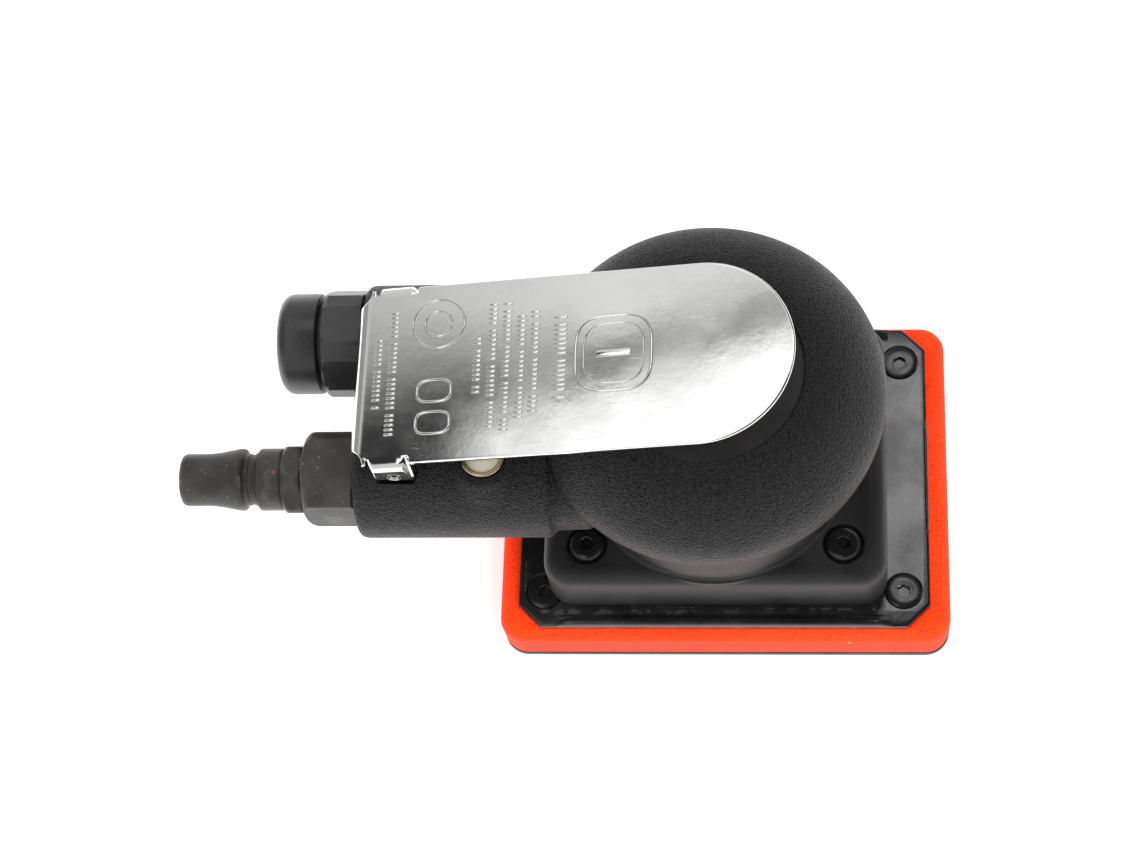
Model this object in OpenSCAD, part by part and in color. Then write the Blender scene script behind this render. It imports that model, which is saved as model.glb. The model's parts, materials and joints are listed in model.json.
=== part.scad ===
// Air-driven rectangular palm orbital sander.
// Millimetres, +Z up. The origin is on the motor's axis, in the plane of the sanding face.
// +X runs from the hose end towards the front of the pad.

/* [Sanding pad] */
// Length of the foam pad, along X
pad_length = 100; // [94:1:120]
// Width of the foam pad, along Y
pad_width = 75; // [73:1:95]
// Height of the foam
foam_height = 11.5; // [10:0.5:16]
// Thickness of the facing that holds the abrasive
facing_height = 1.5; // [1:0.25:2]
// Radius of the pad's upright corners
pad_corner = 5.5; // [3:0.5:9]
// Radius of the foam's rounded top edge
foam_edge = 3; // [1:0.5:4]

/* [Backing plate] */
// Length of the steel plate
plate_length = 91; // [88:1:94]
// Width of the steel plate
plate_width = 71; // [69:1:73]
// Thickness of the steel plate
plate_thickness = 2; // [1.6:0.1:3]
// Cut at the plate's corners
plate_chamfer = 5; // [3:0.5:6]
// Radius of the rolled lip on the two long edges
lip_radius = 1.1; // [0.8:0.1:1.3]
// Distance between plate screws along X
plate_screw_span_x = 79.4; // [78:0.2:82]
// Distance between plate screws along Y
plate_screw_span_y = 54.6; // [52:0.2:58]

/* [Orbit and posts] */
// Distance from the motor's axis to the crank pin's axis
orbit_radius = 1.25; // [1:0.05:1.5]
// Angle of the crank at rest, from +X
crank_angle = 20; // [0:5:90]
// Distance between flexible posts along X
post_span_x = 55.4; // [54:0.2:56]
// Distance between flexible posts along Y
post_span_y = 43; // [42:0.2:44]
// Radius of a flexible post
post_radius = 5.2; // [4.5:0.1:5.3]

/* [Base shroud] */
// Length of the shroud
shroud_length = 74.6; // [74:0.2:80]
// Width of the shroud
shroud_width = 61.4; // [61:0.2:66]
// Height of the shroud, without its neck
shroud_height = 15; // [14.5:0.5:18]
// Gap between the shroud and the plate
shroud_gap = 1.5; // [1:0.25:3]
// Wall of the shroud
shroud_wall = 2; // [1.5:0.1:2.2]
// Radius of the round neck
neck_radius = 29.7; // [29:0.1:31]

/* [Grip and arms] */
// Radius of the round grip
grip_radius = 36.8; // [36:0.2:42]
// Radius of the smooth disc on top
top_disc_radius = 20.3; // [16:0.5:24]
// Distance from each arm's axis to the middle
arm_offset = 15.6; // [15:0.2:17]
// Radius of an arm's rubber sleeve
sleeve_radius = 12.3; // [12:0.1:13]
// Where the arms end
arm_end_x = -73.1; // [-80:0.1:-72.5]

/* [Throttle] */
// Width of the lever
lever_width = 39.2; // [36:0.2:39.2]
// Length of the lever in front of its pin
lever_reach = 83.9; // [74:0.1:92]
// Thickness of the lever's sheet
lever_sheet = 1.5; // [1.2:0.1:1.6]
// Slope of the lever at rest
lever_slope = 9.15; // [8.5:0.05:10.5]
// Radius of the button under the lever
button_radius = 3.7; // [3.2:0.1:3.9]

/* [Screws] */
// Radius of the threads of plate and shroud screws
screw_radius = 2; // [1.5:0.1:2.4]

/* [Hidden] */
$fn = 64;

// Clearances
part_gap = 0.05;
turning_gap = 0.06;
orbit_gap = 0.4;

// Levels of the pad and the shroud
plate_bottom = facing_height + foam_height;
plate_top = plate_bottom + plate_thickness;
shroud_bottom = plate_top + shroud_gap;
shroud_top = shroud_bottom + shroud_height;
roof_thickness = 3;
neck_cove = 0.9;
shroud_corner = 6;
shroud_edge = 2.8;
roof_bottom = shroud_top - roof_thickness;
neck_top = shroud_top + 20.5;
crank_x = orbit_radius * cos(crank_angle);
crank_y = orbit_radius * sin(crank_angle);

// Pad core and hub
core_height = 2.5;
core_margin = 9;
hub_radius = 16.6;
hub_flange_radius = 22;
hub_flange = 2;
hub_floor = 2.5;
hub_bottom = plate_top - 5.5;
hub_top = plate_top + 6.5;
hub_screw_circle = 19.2;
pad_bearing_z = hub_bottom + hub_floor;
recess_bottom = hub_bottom - 1;
clip_z = pad_bearing_z + 8.1;
clip_height = 1;
clip_groove = 0.7;

// Screws, inserts and post discs
insert_radius = screw_radius + 1.4;
insert_bottom = plate_bottom - 7;
plate_head = screw_radius + 2;
plate_head_height = plate_thickness * 0.9;
plate_screw_length = 7.4;
post_head = 3.2;
post_thread = 1.5;
hub_head = 2.2;
hub_head_height = 1.2;
hub_thread = 1;
hub_screw_length = 3.4;
disc_height = 2.2;
shroud_head = screw_radius + 2;
shroud_head_z = shroud_top - 1.5;
shroud_head_height = 2;
shroud_head_dome = 1.1;
socket_depth = 1.3;

// Ball bearings: [bore radius, outer radius, width, ball radius, balls]
small_bearing = [4, 11, 7, 1.98, 7];
large_bearing = [6, 14, 8, 2.38, 8];
race_share = 0.6;

// Motor, from the bottom up
bore_radius = 22;
lock_flange_radius = 27.8;
lock_thread_radius = 22.9;
lock_opening = 16;
spigot_radius = 26.1;
end_plate_opening = 8.6;
lower_plate_height = 8.5;
cylinder_bottom = shroud_top + lower_plate_height;
cylinder_height = 22;
cylinder_top = cylinder_bottom + cylinder_height;
cylinder_bore = 17;
bore_offset = 1.6;
upper_plate_height = 8.2;
stack_top = cylinder_top + upper_plate_height;
stack_floor = 0.8;
rotor_radius = 15;
rotor_play = 0.3;
rotor_bottom = cylinder_bottom + rotor_play;
rotor_top = cylinder_top - rotor_play;
upper_bearing_z = cylinder_top + stack_floor;
lower_bearing_z = cylinder_bottom - stack_floor - large_bearing[2];
vane_count = 5;
vane_thickness = 2;
vane_depth = 6;
port_radius = 2.4;
dowel_radius = 1;
dowel_y = 3 - bore_radius;
dowel_bottom = cylinder_bottom - 3;
dowel_top = cylinder_bottom + 3.5;

// Crankshaft
shaft_radius = 6;
shaft_shoulder = 7.5;
web_radius = 11;
web_bottom = hub_top + 1;
web_top = roof_bottom - 2.4;
weight_radius = 23.5;
key_width = 3;
key_depth = 2.4;
key_height = 10;
key_z = (rotor_bottom + rotor_top - key_height) / 2;
key_x = shaft_radius - key_depth / 2;
washer_radius = 7.6;
washer_height = 1.4;
retaining_thread = 2.5;
retaining_head = 4.6;
retaining_head_height = 1.6;

// Grip
grip_equator = shroud_top + 33.2;
grip_top = shroud_top + 46;
grip_bulge = 15.4;
grip_floor = neck_top - 0.3;
disc_recess = 0.4;
core_radius = 31.6;
core_foot_radius = 28.6;
core_top = grip_top - 3.3;

// Arms
arm_z = shroud_top + 25.1;
arm_core = 10.3;
sleeve_front_x = -32.4;
deck_half_height = 6;
deck_skin = 1.6;
saddle_half_width = 16.4;
saddle_back_x = -36.2;
saddle_top = arm_z - sleeve_radius - 0.3;

// Throttle valve, under the button
button_x = -45.6;
ring_radius = 4.67;
ring_bottom = arm_z + 11;
ring_top = arm_z + 13.4;
boss_radius = 6.3;
boss_top = arm_z + 12.9;
tower_radius = 5.2;
tower_top = arm_z + 12.6;
button_step_z = arm_z + 4;
button_dome = 10;
seal_depth = 0.8;
stem_radius = 1.6;
seat_bottom = arm_z - 2;
seat_height = 2;
seat_radius = 5.8;
seat_opening = 3.2;
valve_disc_height = 2;
valve_disc_radius = 4.6;
valve_chamber_z = arm_z - 5.2;
dial_radius = 7.8;
dial_top = arm_z - sleeve_radius - 0.1;
dial_bottom = dial_top - 2.2;
dial_neck = 5;
dial_neck_top = dial_top + 3;
dial_tower = 7;
dial_slot = 1.2;
spring_radius = 3.3;
spring_wire = 0.45;
spring_turns = 4;
spring_bottom = dial_neck_top;
spring_top = seat_bottom - valve_disc_height;

// Lever, in its own frame at the pin: u along the sheet, w square to it
pin_x = -63.5;
pin_z = arm_z + 13.8;
pin_radius = 1.6;
pin_slit = 0.5;
lever_under = 3.85;
lever_tail = 8.7;
lever_bend = 3;
tail_drop = 3.6;
ear_radius = 4.3;
ear_outer = lever_width / 2 + 0.9;
ear_inner = ear_outer - lever_sheet;
ear_relief = 0.7;
ear_pocket = ear_radius + 0.4;
relief_radius = 3.4;
lug_radius = 2.9;
lug_half_width = ear_inner - 0.4;
button_top = pin_z + (button_x - pin_x) * tan(lever_slope)
    + lever_under / cos(lever_slope) - 0.2;

// Fittings at the back
bushing_flats = 17;
bushing_corner = 10.3;
bushing_edge = 2;
bushing_front_x = arm_end_x - 0.1;
bushing_back_x = arm_end_x - 11.4;
bushing_thread = 6.6;
screen_radius = 4.4;
plug_flats = 14;
plug_turn = 22;
plug_hex = 4.7;
plug_thread = 6;
plug_collar = 6.6;
plug_groove = 5.65;
plug_nose = 5.6;
plug_bore = 3.4;
plug_edge = 1;
plug_hex_x = bushing_back_x - plug_hex;
plug_collar_x = plug_hex_x - 5.4;
plug_groove_x = plug_collar_x - 2.9;
plug_tip_x = plug_groove_x - 13.7;
muffler_flats = 22;
muffler_corners = 23.05;
muffler_back_x = arm_end_x - 9.2;
muffler_thread = 8.4;
muffler_turn = 32;
muffler_neck = 9.2;
muffler_bore = 6.6;
cap_radius = 10.85;
cap_bore = 8.2;
cap_edge = 2.8;
cap_front_x = muffler_back_x - 0.9;
cap_back_x = cap_front_x - 8.6;

// ---------- Helpers ----------

// Points on an arc from angle a to angle b, with its own radius along X and along Y
function arc(cx, cy, rx, ry, a, b, steps) =
    [for (i = [0 : steps]) let (t = a + (b - a) * i / steps) [cx + rx * cos(t), cy + ry * sin(t)]];

// Children at the four corners of a rectangle
module at_corners(span_x, span_y) {
    for (sx = [-1, 1], sy = [-1, 1])
        translate([sx * span_x / 2, sy * span_y / 2, 0]) children();
}

// Children on the pad's axis, which the crank carries
module on_pad() {
    translate([crank_x, crank_y, 0]) children();
}

module disc(radius, from_z, to_z) {
    translate([0, 0, from_z]) cylinder(h = to_z - from_z, r = radius);
}

module ring(outer, inner, from_z, to_z) {
    difference() {
        disc(outer, from_z, to_z);
        disc(inner, from_z - 1, to_z + 1);
    }
}

// A straight round bar along X
module rod_x(radius, from_x, to_x, y, z) {
    translate([from_x, y, z]) rotate([0, 90, 0]) cylinder(h = to_x - from_x, r = radius);
}

// A prism along X of the 2D child
module prism_x(from_x, to_x, y, z) {
    translate([from_x, y, z]) rotate([0, 90, 0]) linear_extrude(height = to_x - from_x) children();
}

module rounded_rectangle(length, width, corner) {
    square([length - 2 * corner, width], center = true);
    square([length, width - 2 * corner], center = true);
    at_corners(length - 2 * corner, width - 2 * corner) circle(r = corner);
}

module rounded_plate(length, width, corner, from_z, to_z) {
    translate([0, 0, from_z]) linear_extrude(height = to_z - from_z)
        rounded_rectangle(length, width, corner);
}

// A slab with upright round corners and a rounded top edge
module soft_slab(length, width, corner, edge, from_z, to_z) {
    hull()
        at_corners(length - 2 * corner, width - 2 * corner)
            rotate_extrude($fn = 32)
                polygon(concat([[0, from_z], [corner, from_z]],
                    arc(corner - edge, to_z - edge, edge, edge, 0, 90, 6), [[0, to_z]]));
}

// A hexagon across flats, with its corners cut flat
module cut_hexagon(flats, corners) {
    intersection() {
        circle(r = flats / sqrt(3), $fn = 6);
        rotate(30) circle(r = corners / sqrt(3), $fn = 6);
    }
}

// A countersunk screw with its head up, its top at z
module flat_head_screw(z, head, thread, head_height, length, socket) {
    difference() {
        union() {
            translate([0, 0, z - head_height])
                cylinder(h = head_height, r1 = thread, r2 = head);
            disc(thread, z - length, z - head_height);
        }
        translate([0, 0, z - head_height * 0.7]) cylinder(h = head_height, r = socket, $fn = 6);
    }
}

module ball_track(bearing, z) {
    pitch = (bearing[0] + bearing[1]) / 2;
    rotate_extrude() translate([pitch, z + bearing[2] / 2]) circle(r = bearing[3] + turning_gap);
}

module bearing_outer(bearing, z) {
    pitch = (bearing[0] + bearing[1]) / 2;
    difference() {
        ring(bearing[1] - part_gap, pitch + bearing[3] * race_share, z, z + bearing[2]);
        ball_track(bearing, z);
    }
}

module bearing_inner(bearing, z) {
    pitch = (bearing[0] + bearing[1]) / 2;
    difference() {
        ring(pitch - bearing[3] * race_share, bearing[0] + part_gap, z, z + bearing[2]);
        ball_track(bearing, z);
    }
}

module bearing_balls(bearing, z) {
    pitch = (bearing[0] + bearing[1]) / 2;
    for (i = [0 : bearing[4] - 1])
        rotate(i * 360 / bearing[4])
            translate([pitch, 0, z + bearing[2] / 2]) sphere(r = bearing[3], $fn = 32);
}

// Half of the space on the crank's far side
module far_half(size, from_z, to_z) {
    rotate(crank_angle) translate([-size, -size, from_z]) cube([size, 2 * size, to_z - from_z]);
}

// ---------- Sanding pad ----------

module pad_facing() {
    color("dimgray") on_pad() rounded_plate(pad_length, pad_width, pad_corner, 0, facing_height);
}

module foam_pad() {
    color("orangered") difference() {
        on_pad() soft_slab(pad_length, pad_width, pad_corner, foam_edge, facing_height, plate_bottom);
        on_pad() rounded_plate(pad_length - 2 * core_margin, pad_width - 2 * core_margin, pad_corner,
            plate_bottom - core_height, plate_bottom + 1);
        on_pad() disc(hub_radius + orbit_gap, recess_bottom, plate_bottom);
        on_pad() at_corners(plate_screw_span_x, plate_screw_span_y)
            disc(insert_radius, insert_bottom, plate_bottom);
    }
}

module pad_core() {
    color("burlywood") on_pad() difference() {
        rounded_plate(pad_length - 2 * core_margin, pad_width - 2 * core_margin, pad_corner,
            plate_bottom - core_height, plate_bottom);
        disc(hub_radius + orbit_gap, plate_bottom - core_height - 1, plate_bottom + 1);
        at_corners(plate_screw_span_x, plate_screw_span_y)
            disc(insert_radius, plate_bottom - core_height - 1, plate_bottom + 1);
    }
}

module pad_inserts() {
    color("goldenrod") on_pad() at_corners(plate_screw_span_x, plate_screw_span_y) difference() {
        disc(insert_radius - part_gap, insert_bottom + part_gap, plate_bottom);
        disc(screw_radius + part_gap, insert_bottom + 0.6, plate_bottom + 1);
    }
}

module backing_plate() {
    half_x = plate_length / 2;
    half_y = plate_width / 2;
    cut = plate_chamfer;
    lip_y = half_y - lip_radius;
    lip_half = plate_screw_span_x / 2 - 2;
    color("black") on_pad() difference() {
        union() {
            translate([0, 0, plate_bottom]) linear_extrude(height = plate_thickness)
                polygon([
                    [half_x - cut, -half_y], [half_x, cut - half_y],
                    [half_x, half_y - cut], [half_x - cut, half_y],
                    [cut - half_x, half_y], [-half_x, half_y - cut],
                    [-half_x, cut - half_y], [cut - half_x, -half_y]
                ]);
            for (side = [-1, 1]) rod_x(lip_radius, -lip_half, lip_half, side * lip_y, plate_top);
        }
        disc(hub_radius + part_gap, plate_bottom - 1, plate_top + 1);
        at_corners(plate_screw_span_x, plate_screw_span_y) {
            disc(screw_radius + part_gap, plate_bottom - 1, plate_top + 1);
            translate([0, 0, plate_top - plate_head_height])
                cylinder(h = plate_head_height + 0.01, r1 = screw_radius + part_gap,
                    r2 = plate_head + part_gap);
        }
        at_corners(post_span_x, post_span_y) {
            disc(post_thread + part_gap, plate_bottom - 1, plate_top + 1);
            translate([0, 0, plate_bottom - 0.01])
                cylinder(h = plate_head_height, r1 = post_head + part_gap,
                    r2 = post_thread + part_gap);
        }
        for (i = [0 : 3]) rotate(45 + 90 * i) translate([hub_screw_circle, 0, 0])
            disc(hub_thread + part_gap, plate_bottom + 0.4, plate_top + 1);
    }
}

module plate_screws() {
    color("dimgray") on_pad() at_corners(plate_screw_span_x, plate_screw_span_y)
        flat_head_screw(plate_top, plate_head, screw_radius, plate_head_height,
            plate_screw_length, screw_radius * 0.7);
}

module pad_hub() {
    color("silver") on_pad() difference() {
        union() {
            disc(hub_radius, hub_bottom, hub_top);
            disc(hub_flange_radius, plate_top, plate_top + hub_flange);
        }
        disc(large_bearing[1], pad_bearing_z, hub_top + 1);
        disc(large_bearing[1] + clip_groove, clip_z - part_gap, clip_z + clip_height + part_gap);
        disc(9, hub_bottom - 1, pad_bearing_z + 1);
        for (i = [0 : 3]) rotate(45 + 90 * i) translate([hub_screw_circle, 0, 0]) {
            disc(hub_thread + part_gap, plate_top - 1, plate_top + hub_flange + 1);
            translate([0, 0, plate_top + hub_flange - hub_head_height])
                cylinder(h = hub_head_height + 0.01, r1 = hub_thread + part_gap,
                    r2 = hub_head + part_gap);
        }
    }
}

module hub_screws() {
    color("gray") on_pad() for (i = [0 : 3]) rotate(45 + 90 * i)
        translate([hub_screw_circle, 0, 0])
            flat_head_screw(plate_top + hub_flange, hub_head, hub_thread, hub_head_height,
            hub_screw_length, hub_thread * 0.8);
}

module pad_bearing_outer() {
    color("silver") on_pad() bearing_outer(large_bearing, pad_bearing_z);
}

module pad_bearing_clip() {
    outer = large_bearing[1] + clip_groove - part_gap;
    color("dimgray") on_pad() difference() {
        ring(outer, large_bearing[1] - 1.6, clip_z, clip_z + clip_height);
        translate([0, -2.5, clip_z - 1]) cube([outer + 1, 5, clip_height + 2]);
    }
}

// ---------- Flexible posts ----------

module post_screws() {
    color("gray") on_pad() at_corners(post_span_x, post_span_y)
        mirror([0, 0, 1]) flat_head_screw(-plate_bottom, post_head, post_thread,
            plate_head_height, plate_thickness + disc_height - 0.4, post_thread * 0.8);
}

module post_lower_discs() {
    color("silver") on_pad() at_corners(post_span_x, post_span_y)
        ring(post_radius, post_thread + part_gap, plate_top, plate_top + disc_height);
}

module post_rubbers() {
    color("black") on_pad() at_corners(post_span_x, post_span_y)
        disc(post_radius, plate_top + disc_height, roof_bottom - disc_height);
}

module post_upper_discs() {
    color("silver") at_corners(post_span_x, post_span_y)
        ring(post_radius, screw_radius + part_gap, roof_bottom - disc_height, roof_bottom);
}

module shroud_screws() {
    color("black") at_corners(post_span_x, post_span_y) difference() {
        union() {
            disc(screw_radius, roof_bottom - disc_height + 0.2, shroud_head_z);
            translate([0, 0, shroud_head_z]) rotate_extrude()
                polygon(concat([[0, 0], [shroud_head, 0]],
                    arc(shroud_head - shroud_head_dome, shroud_head_height - shroud_head_dome,
                        shroud_head_dome, shroud_head_dome, 0, 90, 6),
                    [[0, shroud_head_height]]));
        }
        translate([0, 0, shroud_head_z + shroud_head_height - socket_depth])
            cylinder(h = 2, r = screw_radius * 0.7, $fn = 6);
    }
}

// ---------- Base shroud ----------

module base_shroud() {
    inside_length = shroud_length - 2 * shroud_wall;
    inside_width = shroud_width - 2 * shroud_wall;
    color([0.08, 0.08, 0.08]) difference() {
        union() {
            soft_slab(shroud_length, shroud_width, shroud_corner, shroud_edge,
                shroud_bottom, shroud_top);
            disc(neck_radius, shroud_top - 1, neck_top);
            rotate_extrude() translate([neck_radius, shroud_top]) difference() {
                translate([-1, -1]) square(neck_cove + 1);
                translate([neck_cove, neck_cove]) circle(r = neck_cove);
                translate([neck_cove, -2]) square(neck_cove);
            }
            translate([saddle_back_x, -saddle_half_width, shroud_top - 1])
                cube([-saddle_back_x - 20, 2 * saddle_half_width, saddle_top - shroud_top + 1]);
        }
        rounded_plate(inside_length, inside_width, 4, shroud_bottom - 1, roof_bottom);
        disc(spigot_radius + part_gap, shroud_bottom, neck_top + 1);
        at_corners(post_span_x, post_span_y) {
            disc(screw_radius + part_gap, shroud_bottom, shroud_top + 1);
            disc(shroud_head + 0.5, shroud_head_z, shroud_top + 1);
        }
    }
}

module lock_ring() {
    color("dimgray") difference() {
        union() {
            disc(lock_flange_radius, roof_bottom - 2, roof_bottom);
            disc(lock_thread_radius, roof_bottom - 1, shroud_top);
        }
        disc(lock_opening, roof_bottom - 3, shroud_top + 1);
        for (i = [0 : 3]) rotate(90 * i) translate([lock_opening, 0, roof_bottom - 3])
            cylinder(h = 2.5, r = 1.6);
    }
}

// ---------- Motor housing and grip ----------

// Outline of the housing's round core, grown by gap
module core_outline(gap) {
    shoulder = 14;
    spring_line = grip_equator - 3;
    polygon(concat([
            [0, neck_top - gap], [core_foot_radius + gap, neck_top - gap],
            [core_foot_radius + gap, neck_top + 2.5 - gap], [core_radius + gap, neck_top + 6 - gap]
        ],
        arc(core_radius - shoulder, spring_line, shoulder + gap, core_top - spring_line + gap,
            0, 90, 12),
        [[0, core_top + gap]]));
}

// Both arms and the deck between them, grown by gap
module arm_cores(gap) {
    half = deck_half_height + gap;
    for (side = [-1, 1])
        rod_x(arm_core + gap, arm_end_x + 0.8 - gap, -20, side * arm_offset, arm_z);
    translate([arm_end_x + 0.8 - gap, -arm_offset, arm_z - half])
        cube([-arm_end_x - 20.8 + gap, 2 * arm_offset, 2 * half]);
}

// The lug that carries the lever's pin, grown by gap
module lever_lug(gap) {
    half = lug_half_width + gap;
    translate([pin_x, half, pin_z]) rotate([90, 0, 0])
        cylinder(h = 2 * half, r = lug_radius + gap);
    translate([pin_x - lug_radius - gap, -half, arm_z])
        cube([2 * (lug_radius + gap), 2 * half, pin_z - arm_z]);
}

// Room for the lever's ears beside the lug
module ear_pockets() {
    for (side = [-1, 1]) translate([pin_x, side * (ear_outer - lever_sheet / 2), pin_z])
        rotate([90, 0, 0]) cylinder(h = lever_sheet + 0.8, r = ear_pocket, center = true);
}

// The upright bore of the throttle valve
module valve_bores() {
    translate([button_x, -arm_offset, 0]) {
        disc(button_radius + turning_gap, arm_z, tower_top + 1);
        disc(ring_radius + part_gap, ring_bottom, tower_top + 1);
        disc(seat_radius + part_gap, seat_bottom, seat_bottom + seat_height + part_gap);
        disc(valve_disc_radius + 0.6, dial_neck_top - 1, seat_bottom + 0.5);
        disc(dial_neck + turning_gap, dial_top - 3, dial_neck_top);
    }
}

module motor_housing() {
    bore_top = stack_top + 0.2;
    color([0.15, 0.15, 0.15]) difference() {
        union() {
            rotate_extrude() core_outline(0);
            disc(spigot_radius, roof_bottom, neck_top + 1);
            difference() {
                union() {
                    arm_cores(0);
                    lever_lug(0);
                    translate([button_x, -arm_offset, 0]) {
                        disc(tower_radius, arm_z, tower_top);
                        disc(dial_tower, dial_top + 0.2, arm_z);
                    }
                }
                disc(neck_radius + 0.25, 0, neck_top);
            }
        }
        disc(bore_radius, roof_bottom - 1, bore_top);
        disc(lock_thread_radius + part_gap, roof_bottom - 1, shroud_top);
        valve_bores();
        ear_pockets();
        translate([pin_x, lug_half_width + 1, pin_z]) rotate([90, 0, 0])
            cylinder(h = 2 * lug_half_width + 2, r = pin_radius);
        rod_x(bushing_thread + part_gap, arm_end_x - 1, arm_end_x + 12.5, -arm_offset, arm_z);
        rod_x(port_radius, arm_end_x + 8, button_x, -arm_offset, valve_chamber_z + 1);
        rod_x(port_radius, button_x, -10, -arm_offset, seat_bottom + seat_height + port_radius);
        rod_x(muffler_thread + part_gap, arm_end_x - 1, arm_end_x + 11, arm_offset, arm_z);
        rod_x(6, arm_end_x + 8, -10, arm_offset, arm_z - 3);
    }
}

module grip_outline() {
    lower_angle = acos((neck_radius + 0.3 - grip_radius + grip_bulge) / grip_bulge);
    polygon(concat([[0, grip_floor], [neck_radius + 0.3, grip_floor]],
        arc(grip_radius - grip_bulge, grip_equator, grip_bulge, grip_bulge, -lower_angle, 0, 10),
        arc(top_disc_radius, grip_equator, grip_radius - top_disc_radius, grip_top - grip_equator,
            6, 90, 14),
        [[top_disc_radius, grip_top - disc_recess], [0, grip_top - disc_recess]]));
}

module rubber_grip() {
    skin = deck_half_height + deck_skin;
    front = -24;
    color([0.13, 0.13, 0.13]) difference() {
        union() {
            rotate_extrude() grip_outline();
            for (side = [-1, 1])
                rod_x(sleeve_radius, arm_end_x, sleeve_front_x, side * arm_offset, arm_z);
            translate([arm_end_x, -arm_offset, arm_z - skin])
                cube([front - arm_end_x, 2 * arm_offset, 2 * skin]);
            translate([button_x, -arm_offset, 0]) disc(boss_radius, arm_z, boss_top);
        }
        rotate_extrude() core_outline(part_gap);
        arm_cores(part_gap);
        for (side = [-1, 1])
            rod_x(arm_core - 1, arm_end_x - 1, arm_end_x + 2, side * arm_offset, arm_z);
        lever_lug(part_gap);
        disc(neck_radius + 0.25, 0, neck_top);
        ear_pockets();
        translate([button_x, -arm_offset, 0]) {
            disc(tower_radius + part_gap, arm_z, boss_top + 1);
            disc(dial_tower + part_gap, dial_bottom, arm_z);
        }
    }
}

module cylinder_liner() {
    color("silver") difference() {
        disc(bore_radius - part_gap, cylinder_bottom, cylinder_top);
        translate([0, bore_offset, 0]) disc(cylinder_bore, cylinder_bottom - 1, cylinder_top + 1);
        rod_x(port_radius, -bore_radius, -8, -arm_offset, seat_bottom + seat_height + port_radius);
        rod_x(4, -bore_radius, -6, arm_offset, arm_z - 3);
        translate([0, dowel_y, 0])
            disc(dowel_radius + part_gap, cylinder_bottom - 1, dowel_top + 0.5);
    }
}

module cylinder_dowel() {
    color("gray") translate([0, dowel_y, 0]) disc(dowel_radius, dowel_bottom, dowel_top);
}

module lower_end_plate() {
    seat_z = cylinder_bottom - stack_floor - large_bearing[2];
    color("lightgray") difference() {
        disc(bore_radius - part_gap, shroud_top, cylinder_bottom);
        disc(large_bearing[1], seat_z - 5, seat_z + large_bearing[2]);
        disc(end_plate_opening, shroud_top, cylinder_bottom + 1);
        translate([0, dowel_y, 0])
            disc(dowel_radius + part_gap, dowel_bottom - 0.2, cylinder_bottom + 1);
    }
}

module upper_end_plate() {
    seat_z = cylinder_top + stack_floor;
    color("lightgray") difference() {
        disc(bore_radius - part_gap, cylinder_top, stack_top);
        disc(small_bearing[1], seat_z, stack_top + 1);
        disc(end_plate_opening, cylinder_top - 1, stack_top);
    }
}

module upper_bearing_outer() {
    color("silver") bearing_outer(small_bearing, upper_bearing_z);
}

module lower_bearing_outer() {
    color("silver") bearing_outer(large_bearing, lower_bearing_z);
}

// ---------- Rotor and crankshaft ----------

module rotor() {
    slot = vane_thickness + 2 * turning_gap;
    color("gray") difference() {
        disc(rotor_radius, rotor_bottom, rotor_top);
        disc(shaft_radius + part_gap, rotor_bottom - 1, rotor_top + 1);
        for (i = [0 : vane_count - 1]) rotate(i * 360 / vane_count)
            translate([rotor_radius - vane_depth - 0.5, -slot / 2, rotor_bottom - 1])
                cube([vane_depth + 1, slot, rotor_top - rotor_bottom + 2]);
        rotate(180 / vane_count) translate([0, -key_width / 2 - part_gap, rotor_bottom - 1])
            cube([key_x + key_depth + part_gap, key_width + 2 * part_gap, rotor_top - rotor_bottom + 2]);
    }
}

module rotor_vanes() {
    color("saddlebrown") for (i = [0 : vane_count - 1]) rotate(i * 360 / vane_count)
        translate([rotor_radius - vane_depth - 0.1, -vane_thickness / 2, rotor_bottom])
            cube([vane_depth, vane_thickness, rotor_top - rotor_bottom]);
}

module rotor_key() {
    color("gray") rotate(180 / vane_count)
        translate([key_x, -key_width / 2, key_z])
            cube([key_depth, key_width, key_height]);
}

module crankshaft() {
    pad_journal_top = pad_bearing_z + large_bearing[2];
    color("silver") difference() {
        union() {
            disc(small_bearing[0], rotor_top, upper_bearing_z + small_bearing[2] - 0.3);
            disc(shaft_radius, web_top - 1, rotor_top + 0.2);
            disc(shaft_shoulder, web_top - 1, lower_bearing_z);
            disc(web_radius, web_bottom, web_top);
            on_pad() {
                disc(large_bearing[0], pad_bearing_z + 0.1, web_bottom + 1);
                disc(shaft_shoulder, pad_journal_top, web_bottom + 1);
            }
        }
        rotate(180 / vane_count)
            translate([key_x - part_gap, -key_width / 2 - part_gap, key_z - part_gap])
                cube([key_depth + 1, key_width + 2 * part_gap, key_height + 2 * part_gap]);
        on_pad() disc(retaining_thread + part_gap, pad_bearing_z - 1, pad_bearing_z + 9);
    }
}

module counterweight() {
    color("dimgray") difference() {
        ring(weight_radius, web_radius + part_gap, web_bottom, web_top);
        rotate(180) far_half(weight_radius + 5, web_bottom - 1, web_top + 1);
    }
}

module upper_bearing_inner() {
    color("silver") bearing_inner(small_bearing, upper_bearing_z);
}

module lower_bearing_inner() {
    color("silver") bearing_inner(large_bearing, lower_bearing_z);
}

module pad_bearing_inner() {
    color("silver") on_pad() bearing_inner(large_bearing, pad_bearing_z);
}

module retaining_washer() {
    color("gray") on_pad() ring(washer_radius, retaining_thread + part_gap,
        pad_bearing_z - washer_height, pad_bearing_z);
}

module retaining_screw() {
    head_z = pad_bearing_z - washer_height;
    color("dimgray") on_pad() difference() {
        union() {
            disc(retaining_thread, head_z - 1, pad_bearing_z + 8);
            disc(retaining_head, head_z - retaining_head_height, head_z);
        }
        translate([0, 0, head_z - retaining_head_height - 1])
            cylinder(h = 2, r = retaining_thread * 0.65, $fn = 6);
    }
}

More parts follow.
